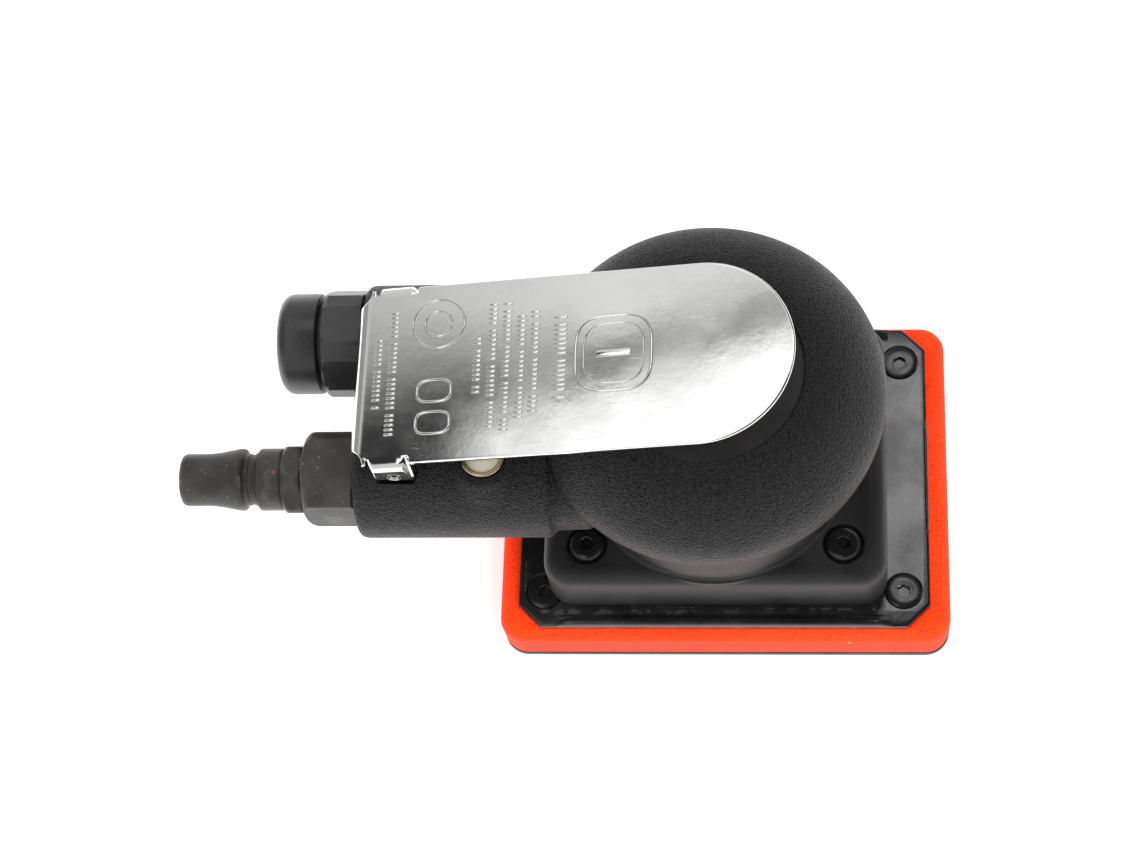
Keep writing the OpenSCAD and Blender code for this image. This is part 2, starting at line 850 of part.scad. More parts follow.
module upper_bearing_balls() {
    color("white") bearing_balls(small_bearing, upper_bearing_z);
}

module lower_bearing_balls() {
    color("white") bearing_balls(large_bearing, lower_bearing_z);
}

module pad_bearing_balls() {
    color("white") on_pad() bearing_balls(large_bearing, pad_bearing_z);
}

// ---------- Throttle ----------

// Children in the lever's frame at the pin
module in_lever_frame() {
    translate([pin_x, 0, pin_z]) rotate([0, -lever_slope, 0]) children();
}

// A quarter of a bent sheet along the local Z axis, its outer face towards +X and +Y
module sheet_bend(length) {
    linear_extrude(height = length, center = true) intersection() {
        difference() {
            circle(r = lever_bend);
            circle(r = lever_bend - lever_sheet);
        }
        square(lever_bend + 1);
    }
}

module throttle_lever() {
    half = lever_width / 2;
    round_u = lever_reach - half;
    top = lever_under + lever_sheet;
    bend_w = top - lever_bend;
    slit = 2 * (ear_radius + ear_relief);
    color("gainsboro") in_lever_frame() difference() {
        union() {
            translate([0, 0, lever_under]) linear_extrude(height = lever_sheet) difference() {
                union() {
                    translate([lever_bend - lever_tail, -half])
                        square([round_u + lever_tail - lever_bend, lever_width]);
                    translate([round_u, 0]) circle(r = half, $fn = 128);
                }
                for (side = [-1, 1]) translate([0, side * (ear_outer - lever_bend + 5)])
                    square([slit, 10], center = true);
            }
            translate([0, 0, lever_under]) linear_extrude(height = lever_sheet)
                square([2 * ear_radius, 2 * (ear_outer - lever_bend)], center = true);
            translate([lever_bend - lever_tail, 0, bend_w]) rotate([90, 0, 0])
                mirror([1, 0, 0]) sheet_bend(lever_width);
            translate([-lever_tail, -half, bend_w - tail_drop + lever_bend])
                cube([lever_sheet, lever_width, tail_drop - lever_bend + 0.01]);
            for (side = [0, 1]) mirror([0, side, 0]) {
                translate([0, ear_outer - lever_bend, bend_w]) rotate([90, 0, 90])
                    sheet_bend(2 * ear_radius);
                translate([0, ear_outer, 0]) rotate([90, 0, 0])
                    cylinder(h = lever_sheet, r = ear_radius);
                translate([-ear_radius, ear_inner, 0]) cube([2 * ear_radius, lever_sheet, bend_w]);
            }
        }
        for (side = [-1, 1]) translate([-lever_tail, side * half, lever_under - 9])
            cylinder(h = 20, r = relief_radius);
        rotate([90, 0, 0]) cylinder(h = 3 * ear_outer, r = pin_radius + turning_gap, center = true);
    }
}

module lever_pin() {
    length = 2 * ear_outer;
    color("silver") translate([pin_x, length / 2, pin_z]) rotate([90, 0, 0]) difference() {
        cylinder(h = length, r = pin_radius);
        translate([0, 0, -1]) cylinder(h = length + 2, r = pin_radius * 0.5);
        translate([0, -pin_slit / 2, -1]) cube([pin_radius + 1, pin_slit, length + 2]);
    }
}

module throttle_button() {
    dome_angle = acos(button_radius / button_dome);
    color("ivory") translate([button_x, -arm_offset, 0]) difference() {
        union() {
            rotate_extrude() polygon(concat([[0, button_step_z], [button_radius, button_step_z]],
                arc(0, button_top - button_dome, button_dome, button_dome, dome_angle, 90, 8)));
            disc(stem_radius, seat_bottom - valve_disc_height + 0.2, button_step_z + 1);
        }
        ring(button_radius + 1, button_radius - seal_depth, button_step_z + 1.5, button_step_z + 3);
    }
}

module button_seal() {
    color("black") translate([button_x, -arm_offset, 0])
        ring(button_radius + turning_gap / 2, button_radius - seal_depth + part_gap,
            button_step_z + 1.6, button_step_z + 2.9);
}

module button_ring() {
    color("goldenrod") translate([button_x, -arm_offset, 0])
        ring(ring_radius, button_radius + turning_gap, ring_bottom, ring_top);
}

module valve_disc() {
    color("black") translate([button_x, -arm_offset, 0])
        ring(valve_disc_radius, stem_radius + part_gap, seat_bottom - valve_disc_height, seat_bottom);
}

module valve_seat() {
    color("goldenrod") translate([button_x, -arm_offset, 0])
        ring(seat_radius, seat_opening, seat_bottom, seat_bottom + seat_height);
}

// One point of the spring's helix
function coil_point(t, r, z0, z1) =
    [r * cos(360 * spring_turns * t), r * sin(360 * spring_turns * t), z0 + (z1 - z0) * t];

// The spring is one swept tube with flat ends
module valve_spring() {
    sides = 8;
    steps = spring_turns * 16;
    low = spring_bottom + spring_wire + part_gap;
    high = spring_top - spring_wire - part_gap;
    rings = [for (i = [0 : steps]) let (t = i / steps, c = coil_point(t, spring_radius, low, high),
            turn = 360 * spring_turns * t)
        [for (k = [0 : sides - 1]) let (a = 360 * k / sides)
            c + spring_wire * [cos(a) * cos(turn), cos(a) * sin(turn), sin(a)]]];
    points = [for (ring_points = rings, p = ring_points) p];
    walls = [for (i = [0 : steps - 1], k = [0 : sides - 1]) let (n = (k + 1) % sides)
        [i * sides + k, (i + 1) * sides + k, (i + 1) * sides + n, i * sides + n]];
    first = [for (k = [0 : sides - 1]) k];
    last = [for (k = [0 : sides - 1]) steps * sides + sides - 1 - k];
    color("silver") translate([button_x, -arm_offset, 0])
        polyhedron(points = points, faces = concat(walls, [first, last]), convexity = 6);
}

module regulator_dial() {
    color([0.1, 0.1, 0.1]) translate([button_x, -arm_offset, 0]) difference() {
        union() {
            disc(dial_radius, dial_bottom, dial_top);
            disc(dial_neck, dial_top - 1, dial_neck_top);
        }
        ring(dial_neck + 1, dial_neck - seal_depth, dial_top + 1, dial_top + 2.2);
        translate([-dial_radius - 1, -dial_slot / 2, dial_bottom - 1])
            cube([2 * dial_radius + 2, dial_slot, 1.8]);
    }
}

module regulator_seal() {
    color("black") translate([button_x, -arm_offset, 0])
        ring(dial_neck + turning_gap / 2, dial_neck - seal_depth + part_gap,
            dial_top + 1.1, dial_top + 2.1);
}

// ---------- Fittings at the back ----------

module inlet_bushing() {
    y = -arm_offset;
    color([0.25, 0.23, 0.22]) difference() {
        union() {
            intersection() {
                prism_x(bushing_back_x, bushing_front_x, y, arm_z)
                    square(bushing_flats, center = true);
                translate([0, y, arm_z]) rotate([0, 90, 0]) rotate_extrude()
                    polygon(concat([[0, bushing_back_x]],
                        arc(bushing_corner - bushing_edge, bushing_back_x + bushing_edge,
                            bushing_edge, bushing_edge, -90, 0, 6),
                        [[bushing_corner, bushing_front_x], [0, bushing_front_x]]));
            }
            rod_x(bushing_thread, bushing_front_x - 1, arm_end_x + 12, y, arm_z);
        }
        rod_x(plug_thread + part_gap, bushing_back_x - 1, bushing_front_x + 1, y, arm_z);
        rod_x(screen_radius, bushing_front_x, arm_end_x + 13, y, arm_z);
    }
}

module inlet_screen() {
    y = -arm_offset;
    color("khaki") difference() {
        rod_x(screen_radius - part_gap, arm_end_x + 3, arm_end_x + 9, y, arm_z);
        rod_x(screen_radius - 0.6, arm_end_x + 2, arm_end_x + 8.4, y, arm_z);
    }
}

module hose_plug() {
    tip = plug_tip_x;
    bulge_x = plug_groove_x - 1.2;
    color([0.25, 0.23, 0.22]) translate([0, -arm_offset, arm_z]) difference() {
        union() {
            rotate([0, 90, 0]) rotate_extrude() polygon(concat(
                [[0, tip]],
                arc(plug_nose - plug_edge, tip + plug_edge, plug_edge, plug_edge, -90, 0, 4),
                [
                    [plug_nose, tip + 7],
                    [plug_collar, bulge_x], [plug_collar, plug_groove_x],
                    [plug_groove, plug_groove_x + 0.5], [plug_groove, plug_collar_x],
                    [plug_collar, plug_collar_x], [plug_collar, plug_hex_x + 0.5],
                    [plug_thread, plug_hex_x + 0.5], [plug_thread, bushing_back_x + 9],
                    [0, bushing_back_x + 9]
                ]));
            prism_x(plug_hex_x, bushing_back_x, 0, 0)
                rotate(plug_turn) circle(r = plug_flats / sqrt(3), $fn = 6);
        }
        rod_x(plug_bore, tip - 1, bushing_back_x + 10, 0, 0);
    }
}

module muffler_body() {
    y = arm_offset;
    color([0.1, 0.1, 0.1]) difference() {
        union() {
            prism_x(muffler_back_x, arm_end_x - 0.1, y, arm_z)
                rotate(muffler_turn) cut_hexagon(muffler_flats, muffler_corners);
            rod_x(muffler_thread, arm_end_x - 1, arm_end_x + 9, y, arm_z);
            rod_x(muffler_neck, cap_front_x, muffler_back_x + 1, y, arm_z);
            rod_x(cap_bore, cap_front_x - 3, cap_front_x + 1, y, arm_z);
        }
        rod_x(muffler_bore, cap_back_x, arm_end_x + 10, y, arm_z);
    }
}

module silencer_felt() {
    color("wheat") rod_x(cap_bore - 0.2, cap_back_x + 2.2, cap_front_x - 3,
        arm_offset, arm_z);
}

module muffler_cap() {
    color([0.1, 0.1, 0.1]) translate([0, arm_offset, arm_z]) difference() {
        rotate([0, 90, 0]) rotate_extrude() polygon(concat(
            [[0, cap_back_x]],
            arc(cap_radius - cap_edge, cap_back_x + cap_edge, cap_edge, cap_edge, -90, 0, 8),
            [[cap_radius, cap_front_x], [0, cap_front_x]]));
        rod_x(cap_bore + part_gap, cap_back_x + 2, cap_front_x + 1, 0, 0);
        for (i = [0 : 7]) rotate([45 * i, 0, 0])
            translate([cap_back_x - 1, 3, -0.7]) cube([4, 4, 1.4]);
    }
}

// ---------- Assembly ----------

pad_facing();
foam_pad();
pad_core();
pad_inserts();
backing_plate();
plate_screws();
pad_hub();
hub_screws();
pad_bearing_outer();
pad_bearing_clip();
post_screws();
post_lower_discs();
post_rubbers();
post_upper_discs();
shroud_screws();
base_shroud();
motor_housing();
rubber_grip();
lock_ring();
cylinder_liner();
cylinder_dowel();
upper_end_plate();
lower_end_plate();
upper_bearing_outer();
lower_bearing_outer();
rotor();
rotor_vanes();
rotor_key();
crankshaft();
counterweight();
upper_bearing_inner();
lower_bearing_inner();
pad_bearing_inner();
retaining_washer();
retaining_screw();
upper_bearing_balls();
lower_bearing_balls();
pad_bearing_balls();
throttle_lever();
lever_pin();
throttle_button();
button_seal();
button_ring();
valve_disc();
valve_seat();
valve_spring();
regulator_dial();
regulator_seal();
inlet_bushing();
inlet_screen();
hose_plug();
muffler_body();
silencer_felt();
muffler_cap();
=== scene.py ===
"""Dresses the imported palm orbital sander: detailed shells, fittings, throttle and finishes."""
import json
import math

import bmesh
import bpy
from mathutils import Matrix, Vector, geometry, noise


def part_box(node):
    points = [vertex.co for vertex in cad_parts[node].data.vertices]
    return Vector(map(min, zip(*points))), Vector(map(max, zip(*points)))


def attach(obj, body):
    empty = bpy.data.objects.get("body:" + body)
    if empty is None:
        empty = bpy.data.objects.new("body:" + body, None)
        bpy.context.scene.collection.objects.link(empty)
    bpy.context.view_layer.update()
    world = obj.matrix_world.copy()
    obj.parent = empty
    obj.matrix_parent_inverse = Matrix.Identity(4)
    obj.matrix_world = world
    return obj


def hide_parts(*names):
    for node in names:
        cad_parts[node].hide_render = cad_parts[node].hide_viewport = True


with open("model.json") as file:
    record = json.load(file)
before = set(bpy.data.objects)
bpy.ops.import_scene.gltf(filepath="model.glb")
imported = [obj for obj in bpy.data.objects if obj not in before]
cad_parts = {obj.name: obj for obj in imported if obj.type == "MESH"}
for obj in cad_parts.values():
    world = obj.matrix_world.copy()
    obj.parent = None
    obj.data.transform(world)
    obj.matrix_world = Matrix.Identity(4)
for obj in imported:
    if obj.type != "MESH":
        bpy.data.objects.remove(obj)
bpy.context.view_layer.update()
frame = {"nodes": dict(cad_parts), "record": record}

bl_info = {
    "name": "Palm Orbital Sander",
    "version": (1, 0, 0),
    "blender": (4, 5, 0),
    "location": "3D View > Sidebar > Sander",
    "description": "Builds the shells, fittings, throttle and finishes of a palm orbital sander",
    "category": "Object",
}

MM = 0.001
TURN = 2 * math.pi


def node_box(node):
    """Lowest and highest corner of a part, in millimetres."""
    low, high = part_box(node)
    return low / MM, high / MM


# ---------------------------------------------------------------- sizes and colours

class SanderSizes(bpy.types.PropertyGroup):
    grain_depth: bpy.props.FloatProperty(
        name="Grain depth", description="Depth of the leather grain moulded into the rubber",
        default=0.0009, min=0, unit="LENGTH")
    grain_size: bpy.props.FloatProperty(
        name="Grain size", description="Width of one cell of the rubber's grain",
        default=0.00044, min=0.0001, unit="LENGTH")
    disc_radius: bpy.props.FloatProperty(
        name="Top disc radius", description="Radius of the smooth disc on top of the grip",
        default=0.0203, min=0.015, unit="LENGTH")
    stamping_height: bpy.props.FloatProperty(
        name="Stamping height", description="How far the stamped marks stand off the lever",
        default=0.00028, min=0, unit="LENGTH")
    lever_slope: bpy.props.FloatProperty(
        name="Lever slope", description="Slope of the throttle lever at rest",
        default=math.radians(9.15), unit="ROTATION")
    slit_depth: bpy.props.FloatProperty(
        name="Socket depth", description="Depth of the hexagon sockets in the screw heads",
        default=0.0014, min=0.0005, unit="LENGTH")


class SanderColours(bpy.types.PropertyGroup):
    foam: bpy.props.FloatVectorProperty(
        name="Foam", description="Colour of the foam pad", subtype="COLOR",
        default=(1.0, 0.042, 0.004), min=0, max=1)
    rubber: bpy.props.FloatVectorProperty(
        name="Rubber", description="Colour of the rubber grip", subtype="COLOR",
        default=(0.016, 0.015, 0.0148), min=0, max=1)
    shroud: bpy.props.FloatVectorProperty(
        name="Shroud", description="Colour of the base shroud", subtype="COLOR",
        default=(0.012, 0.0115, 0.0112), min=0, max=1)
    plate: bpy.props.FloatVectorProperty(
        name="Plate", description="Colour of the coated backing plate", subtype="COLOR",
        default=(0.006, 0.006, 0.0065), min=0, max=1)
    chrome: bpy.props.FloatVectorProperty(
        name="Chrome", description="Colour of the plated lever", subtype="COLOR",
        default=(0.86, 0.86, 0.845), min=0, max=1)
    fitting: bpy.props.FloatVectorProperty(
        name="Blackened steel", description="Colour of the blackened fittings", subtype="COLOR",
        default=(0.045, 0.041, 0.037), min=0, max=1)


def sizes():
    return bpy.context.scene.sander_sizes


def colours():
    return bpy.context.scene.sander_colours


# ---------------------------------------------------------------- mesh helpers, in millimetres

def arc(cx, cy, rx, ry, start, end, steps):
    """Points on an arc from start to end, in degrees."""
    points = []
    for i in range(steps + 1):
        a = math.radians(start + (end - start) * i / steps)
        points.append((cx + rx * math.cos(a), cy + ry * math.sin(a)))
    return points


def smooth_profile(points, rounds):
    """Rounds the inner corners of an open profile. rounds maps a corner's index to its radius."""
    out = []
    for i, point in enumerate(points):
        if i not in rounds or i in (0, len(points) - 1):
            out.append(point)
            continue
        p = Vector(point)
        before, after = Vector(points[i - 1]) - p, Vector(points[i + 1]) - p
        reach = min(rounds[i], before.length * 0.49, after.length * 0.49)
        a, b = p + before.normalized() * reach, p + after.normalized() * reach
        for k in range(6):
            t = k / 5
            out.append(tuple(a * (1 - t) ** 2 + p * 2 * t * (1 - t) + b * t ** 2))
    return out


def rounded_loop(length, width, corner, z, middle=(0, 0), cut=False, per_corner=10):
    """An upright loop of points round a rectangle with round or cut corners."""
    loop = []
    for k, (sx, sy) in enumerate([(1, 1), (-1, 1), (-1, -1), (1, -1)]):
        cx, cy = sx * (length / 2 - corner), sy * (width / 2 - corner)
        for i in range(per_corner):
            a = math.radians(90 * k + 90 * i / (per_corner - 1))
            x, y = math.cos(a), math.sin(a)
            if cut:
                reach = abs(x) + abs(y)
                x, y = x / reach, y / reach
            loop.append(Vector((middle[0] + cx + corner * x, middle[1] + cy + corner * y, z)))
    return loop


def stitch(bm, rows):
    """Quads between neighbouring closed rows of points."""
    count = len(rows[0])
    for a, b in zip(rows, rows[1:]):
        for i in range(count):
            j = (i + 1) % count
            bm.faces.new((a[i], a[j], b[j], b[i]))


def loft(bm, loops):
    """A closed skin over a list of loops that all have the same number of points."""
    rows = [[bm.verts.new(p) for p in loop] for loop in loops]
    stitch(bm, rows)
    for row in (rows[0], rows[-1]):
        bm.faces.new(row)


def lathe(bm, profile, place, steps=96, slots=None, closed=False):
    """Turns a profile of (radius, height) points. place(radius, height, angle) gives the point."""
    points = list(profile) + ([profile[0]] if closed else [])
    rows = []
    for radius, height in points:
        if radius < 1e-6:
            rows.append([bm.verts.new(place(0, height, 0))])
        else:
            rows.append([bm.verts.new(place(radius, height, TURN * k / steps))
                         for k in range(steps)])
    if closed:
        for vert in rows[-1]:
            bm.verts.remove(vert)
        rows[-1] = rows[0]
    for index, (a, b) in enumerate(zip(rows, rows[1:])):
        slot = slots[index] if slots else 0
        for k in range(steps):
            n = (k + 1) % steps
            ring = ([a[0]] if len(a) == 1 else [a[k], a[n]]) + ([b[0]] if len(b) == 1 else [b[n], b[k]])
            if len(ring) > 2:
                bm.faces.new(ring).material_index = slot


def upright(x=0, y=0):
    """A place function for things turned about a vertical axis."""
    return lambda r, h, a: Vector((x + r * math.cos(a), y + r * math.sin(a), h))


def lying(y, z):
    """A place function for things turned about an axis along X."""
    return lambda r, h, a: Vector((h, y - r * math.sin(a), z + r * math.cos(a)))


def soft_min(a, b, blend):
    """The smaller of two lengths, rounded where they meet."""
    near = max(blend - abs(a - b), 0)
    return min(a, b) - near * near / (4 * blend)


FLAT_BLEND = 0.12


def flats(angle, cuts):
    """Distance to a many-sided bar's faces. Each cut is (sides, distance across, turn)."""
    reach = 1e9
    for sides, across, turn in cuts:
        step = TURN / sides
        off = (angle - math.radians(turn) + step / 2) % step - step / 2
        reach = soft_min(reach, across / 2 / math.cos(off), FLAT_BLEND)
    return reach


def turned_bar(bm, profile, y, z, steps, blend):
    """A bar along X. Each profile point is (x, radius, cuts), and cuts may be empty."""
    place = lying(y, z)
    rows = []
    for x, radius, cuts in profile:
        loop = []
        for k in range(steps):
            a = TURN * k / steps
            r = soft_min(radius, flats(a, cuts), blend) if cuts else radius
            loop.append(place(r, x, a))
        rows.append(loop)
    loft(bm, rows)


def socket_head(bm, x, y, outline, across, depth):
    """A screw head seen from above, with a hexagon socket. outline is (radius, height) inwards."""
    place = upright(x, y)
    angles = [TURN * k / 48 for k in range(48)]
    loops = [[place(radius, height, a) for a in angles] for radius, height in outline]
    top = outline[-1][1]
    for grow, drop in ((0.14, 0.02), (0, 0.18), (0, depth)):
        loops.append([place(flats(a, [(6, across, 0)]) + grow, top - drop, a) for a in angles])
    loft(bm, loops)


def cut_box(bm, low, high):
    """A closed box between two corners."""
    made = bmesh.ops.create_cube(bm, size=1)["verts"]
    for v in made:
        v.co = Vector([low[i] if v.co[i] < 0 else high[i] for i in range(3)])


def soft_box(bm, low, high, corner, edge):
    """A box with round upright corners and a rounded top edge."""
    length, width = high[0] - low[0], high[1] - low[1]
    middle = ((low[0] + high[0]) / 2, (low[1] + high[1]) / 2)
    loops = [rounded_loop(length, width, corner, low[2], middle)]
    for shrink, rise in arc(edge, 0, edge, edge, 180, 90, 6):
        loops.append(rounded_loop(length - 2 * shrink, width - 2 * shrink,
                                  max(corner - shrink, 0.1), high[2] - edge + rise, middle))
    loft(bm, loops)


def shade_smooth(mesh, smooth):
    """Smooth shading, with edges sharper than an angle in degrees kept crisp. 0 keeps none."""
    for face in mesh.polygons:
        face.use_smooth = True
    if smooth:
        mesh.set_sharp_from_angle(angle=math.radians(smooth))


def place_object(name, bm, materials, smooth=32):
    """Turns a mesh in millimetres into a piece in metres."""
    bmesh.ops.recalc_face_normals(bm, faces=bm.faces)
    bm.transform(Matrix.Scale(MM, 4))
    mesh = bpy.data.meshes.new(name)
    bm.to_mesh(mesh)
    bm.free()
    shade_smooth(mesh, smooth)
    for material in materials:
        mesh.materials.append(material)
    piece = bpy.data.objects.new(name, mesh)
    bpy.context.scene.collection.objects.link(piece)
    return piece


def settle(piece, smooth=0):
    """Applies a piece's modifiers."""
    bpy.context.view_layer.update()
    shown = piece.evaluated_get(bpy.context.evaluated_depsgraph_get())
    mesh = bpy.data.meshes.new_from_object(shown)
    old = piece.data
    piece.modifiers.clear()
    piece.data = mesh
    bpy.data.meshes.remove(old)
    shade_smooth(mesh, smooth)


def carve(piece, tool_mesh, keep_sharp=32):
    """Cuts a mesh in millimetres out of a piece."""
    tool = place_object(piece.name + "_tool", tool_mesh, [], 0)
    cut = piece.modifiers.new("carve", "BOOLEAN")
    cut.operation = "DIFFERENCE"
    cut.solver = "EXACT"
    cut.object = tool
    settle(piece, keep_sharp)
    bpy.data.objects.remove(tool)


def fit(piece, body, nodes):
    """Puts a piece on its body, in place of the parts it stands for."""
    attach(piece, body)
    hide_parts(*nodes)


# ---------------------------------------------------------------- shader groups

def new_group(name, inputs, outputs):
    """An empty node group with named sockets. inputs are (kind, name, default)."""
    tree = bpy.data.node_groups.new(name, "ShaderNodeTree")
    for kind, label, default in inputs:
        socket = tree.interface.new_socket(name=label, in_out="INPUT", socket_type="NodeSocket" + kind)
        if default is not None:
            socket.default_value = default
    for kind, label in outputs:
        tree.interface.new_socket(name=label, in_out="OUTPUT", socket_type="NodeSocket" + kind)
    return tree, tree.nodes.new("NodeGroupInput"), tree.nodes.new("NodeGroupOutput")


def add_node(tree, kind, links=(), **values):
    """A node with its properties set, and its inputs set or linked by name or number."""
    node = tree.nodes.new("ShaderNode" + kind)
    for key, value in values.items():
        setattr(node, key, value)
    for socket, value in links:
        target = node.inputs[socket]
        if isinstance(value, bpy.types.NodeSocket):
            tree.links.new(value, target)
        else:
            target.default_value = value
    return node


def ramp(tree, value, low, high, out_low=0.0, out_high=1.0):
    """A smooth step of a value between two limits."""
    node = add_node(tree, "MapRange", [("Value", value), ("From Min", low), ("From Max", high),
                                       ("To Min", out_low), ("To Max", out_high)],
                    interpolation_type="SMOOTHSTEP")
    return node.outputs["Result"]


def math_node(tree, operation, a, b=0.0):
    return add_node(tree, "Math", [(0, a), (1, b)], operation=operation).outputs[0]


def times(tree, a, b):
    return math_node(tree, "MULTIPLY", a, b)


def plus(tree, a, b):
    return math_node(tree, "ADD", a, b)


def mix_colour(tree, share, a, b):
    node = add_node(tree, "Mix", data_type="RGBA")
    for socket, value in ((node.inputs[0], share), (node.inputs[6], a), (node.inputs[7], b)):
        if isinstance(value, bpy.types.NodeSocket):
            tree.links.new(value, socket)
        else:
            socket.default_value = value
    return node.outputs[2]


def noise_at(tree, inp, scale, detail=2.0, roughness=0.5):
    """Noise over the group's own coordinates."""
    return add_node(tree, "TexNoise", [("Vector", inp.outputs["Vector"]), ("Scale", scale),
                                       ("Detail", detail), ("Roughness", roughness)])


def build_uneven_tone():
    """Large soft patches between two colours, with a matching change in roughness."""
    tree, inp, out = new_group(
        "uneven_tone",
        [("Vector", "Vector", None), ("Color", "Colour", (0.5, 0.5, 0.5, 1)),
         ("Color", "Patch Colour", (0.4, 0.4, 0.4, 1)), ("Float", "Scale", 60.0),
         ("Float", "Roughness", 0.5), ("Float", "Roughness Spread", 0.1)],
        [("Color", "Colour"), ("Float", "Roughness")])
    cloud = noise_at(tree, inp, inp.outputs["Scale"], 5.0, 0.6)
    share = ramp(tree, cloud.outputs["Fac"], 0.35, 0.68)
    colour = mix_colour(tree, share, inp.outputs["Colour"], inp.outputs["Patch Colour"])
    spread = times(tree, math_node(tree, "SUBTRACT", share, 0.5), inp.outputs["Roughness Spread"])
    rough = plus(tree, inp.outputs["Roughness"], spread)
    tree.links.new(colour, out.inputs["Colour"])
    tree.links.new(rough, out.inputs["Roughness"])
    return tree


def build_dust_specks():
    """Small scattered specks of another colour."""
    tree, inp, out = new_group(
        "dust_specks",
        [("Vector", "Vector", None), ("Color", "Colour", (0, 0, 0, 1)),
         ("Color", "Speck Colour", (0.5, 0.48, 0.45, 1)), ("Float", "Scale", 500.0),
         ("Float", "Amount", 0.05), ("Float", "Size", 0.16)],
        [("Color", "Colour"), ("Float", "Mask")])
    cells = add_node(tree, "TexVoronoi", [("Vector", inp.outputs["Vector"]),
                                          ("Scale", inp.outputs["Scale"])])
    pick = add_node(tree, "SeparateColor", [("Color", cells.outputs["Color"])])
    chosen = math_node(tree, "LESS_THAN", pick.outputs[0], inp.outputs["Amount"])
    size = times(tree, inp.outputs["Size"], pick.outputs[1])
    near = math_node(tree, "LESS_THAN", cells.outputs["Distance"], size)
    mask = times(tree, chosen, near)
    tree.links.new(mix_colour(tree, mask, inp.outputs["Colour"], inp.outputs["Speck Colour"]),
                   out.inputs["Colour"])
    tree.links.new(mask, out.inputs["Mask"])
    return tree


def build_leather_grain():
    """The pebbled leather grain that is moulded into the rubber."""
    tree, inp, out = new_group(
        "leather_grain", [("Vector", "Vector", None), ("Float", "Scale", 1800.0)],
        [("Float", "Height")])
    bend = noise_at(tree, inp, 900.0, 3.0)
    drift = add_node(tree, "VectorMath", [(0, bend.outputs["Color"]), ("Scale", 0.0011)],
                     operation="SCALE")
    where = add_node(tree, "VectorMath", [(0, inp.outputs["Vector"]), (1, drift.outputs[0])],
                     operation="ADD")
    cells = add_node(tree, "TexVoronoi", [("Vector", where.outputs[0]), ("Scale", inp.outputs["Scale"]),
                                          ("Smoothness", 0.35)], feature="SMOOTH_F1")
    fine = noise_at(tree, inp, 3600.0)
    dome = math_node(tree, "SUBTRACT", 1.0, cells.outputs["Distance"])
    height = plus(tree, dome, times(tree, fine.outputs["Fac"], 0.35))
    tree.links.new(height, out.inputs["Height"])
    return tree


def build_moulded_skin():
    """The fine even grain of moulded plastic and cast parts."""
    tree, inp, out = new_group(
        "moulded_skin", [("Vector", "Vector", None), ("Float", "Scale", 2500.0)],
        [("Float", "Height")])
    a = noise_at(tree, inp, inp.outputs["Scale"], 4.0, 0.65)
    b = noise_at(tree, inp, 120.0)
    height = plus(tree, a.outputs["Fac"], times(tree, b.outputs["Fac"], 0.6))
    tree.links.new(height, out.inputs["Height"])
    return tree


def build_hairline_scratches():
    """Long fine scratches in two directions."""
    tree, inp, out = new_group(
        "hairline_scratches", [("Vector", "Vector", None), ("Float", "Scale", 90.0),
                               ("Float", "Amount", 0.5)],
        [("Float", "Mask")])
    total = None
    for turn in ((0, 0, 0.7), (0, 0, 2.15), (0, 0, 1.35)):
        where = add_node(tree, "Mapping", [("Vector", inp.outputs["Vector"]), ("Rotation", turn),
                                           ("Scale", (1.0, 34.0, 1.0))])
        lines = add_node(tree, "TexNoise", [("Vector", where.outputs[0]), ("Scale", inp.outputs["Scale"]),
                                            ("Detail", 4.0), ("Roughness", 0.7)])
        thin = ramp(tree, lines.outputs["Fac"], 0.66, 0.72)
        total = thin if total is None else math_node(tree, "MAXIMUM", total, thin)
    patch = noise_at(tree, inp, 70.0)
    share = times(tree, ramp(tree, patch.outputs["Fac"], 0.42, 0.62), inp.outputs["Amount"])
    tree.links.new(times(tree, total, share), out.inputs["Mask"])
    return tree


def build_edge_rub():
    """Bare metal where edges are rubbed."""
    tree, inp, out = new_group(
        "edge_rub",
        [("Vector", "Vector", None), ("Color", "Colour", (0, 0, 0, 1)),
         ("Color", "Rub Colour", (0.3, 0.29, 0.27, 1)), ("Float", "Amount", 0.5)],
        [("Color", "Colour")])
    shape = tree.nodes.new("ShaderNodeNewGeometry")
    edge = ramp(tree, shape.outputs["Pointiness"], 0.52, 0.6)
    patch = noise_at(tree, inp, 420.0, 4.0)
    worn = ramp(tree, patch.outputs["Fac"], 0.48, 0.62)
    mask = times(tree, times(tree, edge, worn), inp.outputs["Amount"])
    tree.links.new(mix_colour(tree, mask, inp.outputs["Colour"], inp.outputs["Rub Colour"]),
                   out.inputs["Colour"])
    return tree


def build_foam_cells():
    """The open pores of the foam and the slight waves of its moulded skin."""
    tree, inp, out = new_group(
        "foam_cells", [("Vector", "Vector", None), ("Float", "Scale", 1500.0)],
        [("Float", "Height"), ("Float", "Pores")])
    cells = add_node(tree, "TexVoronoi", [("Vector", inp.outputs["Vector"]), ("Scale", inp.outputs["Scale"])])
    wave = noise_at(tree, inp, 180.0, 3.0)
    pores = ramp(tree, cells.outputs["Distance"], 0.12, 0.4)
    height = plus(tree, times(tree, pores, 0.4), wave.outputs["Fac"])
    tree.links.new(height, out.inputs["Height"])
    tree.links.new(pores, out.inputs["Pores"])
    return tree


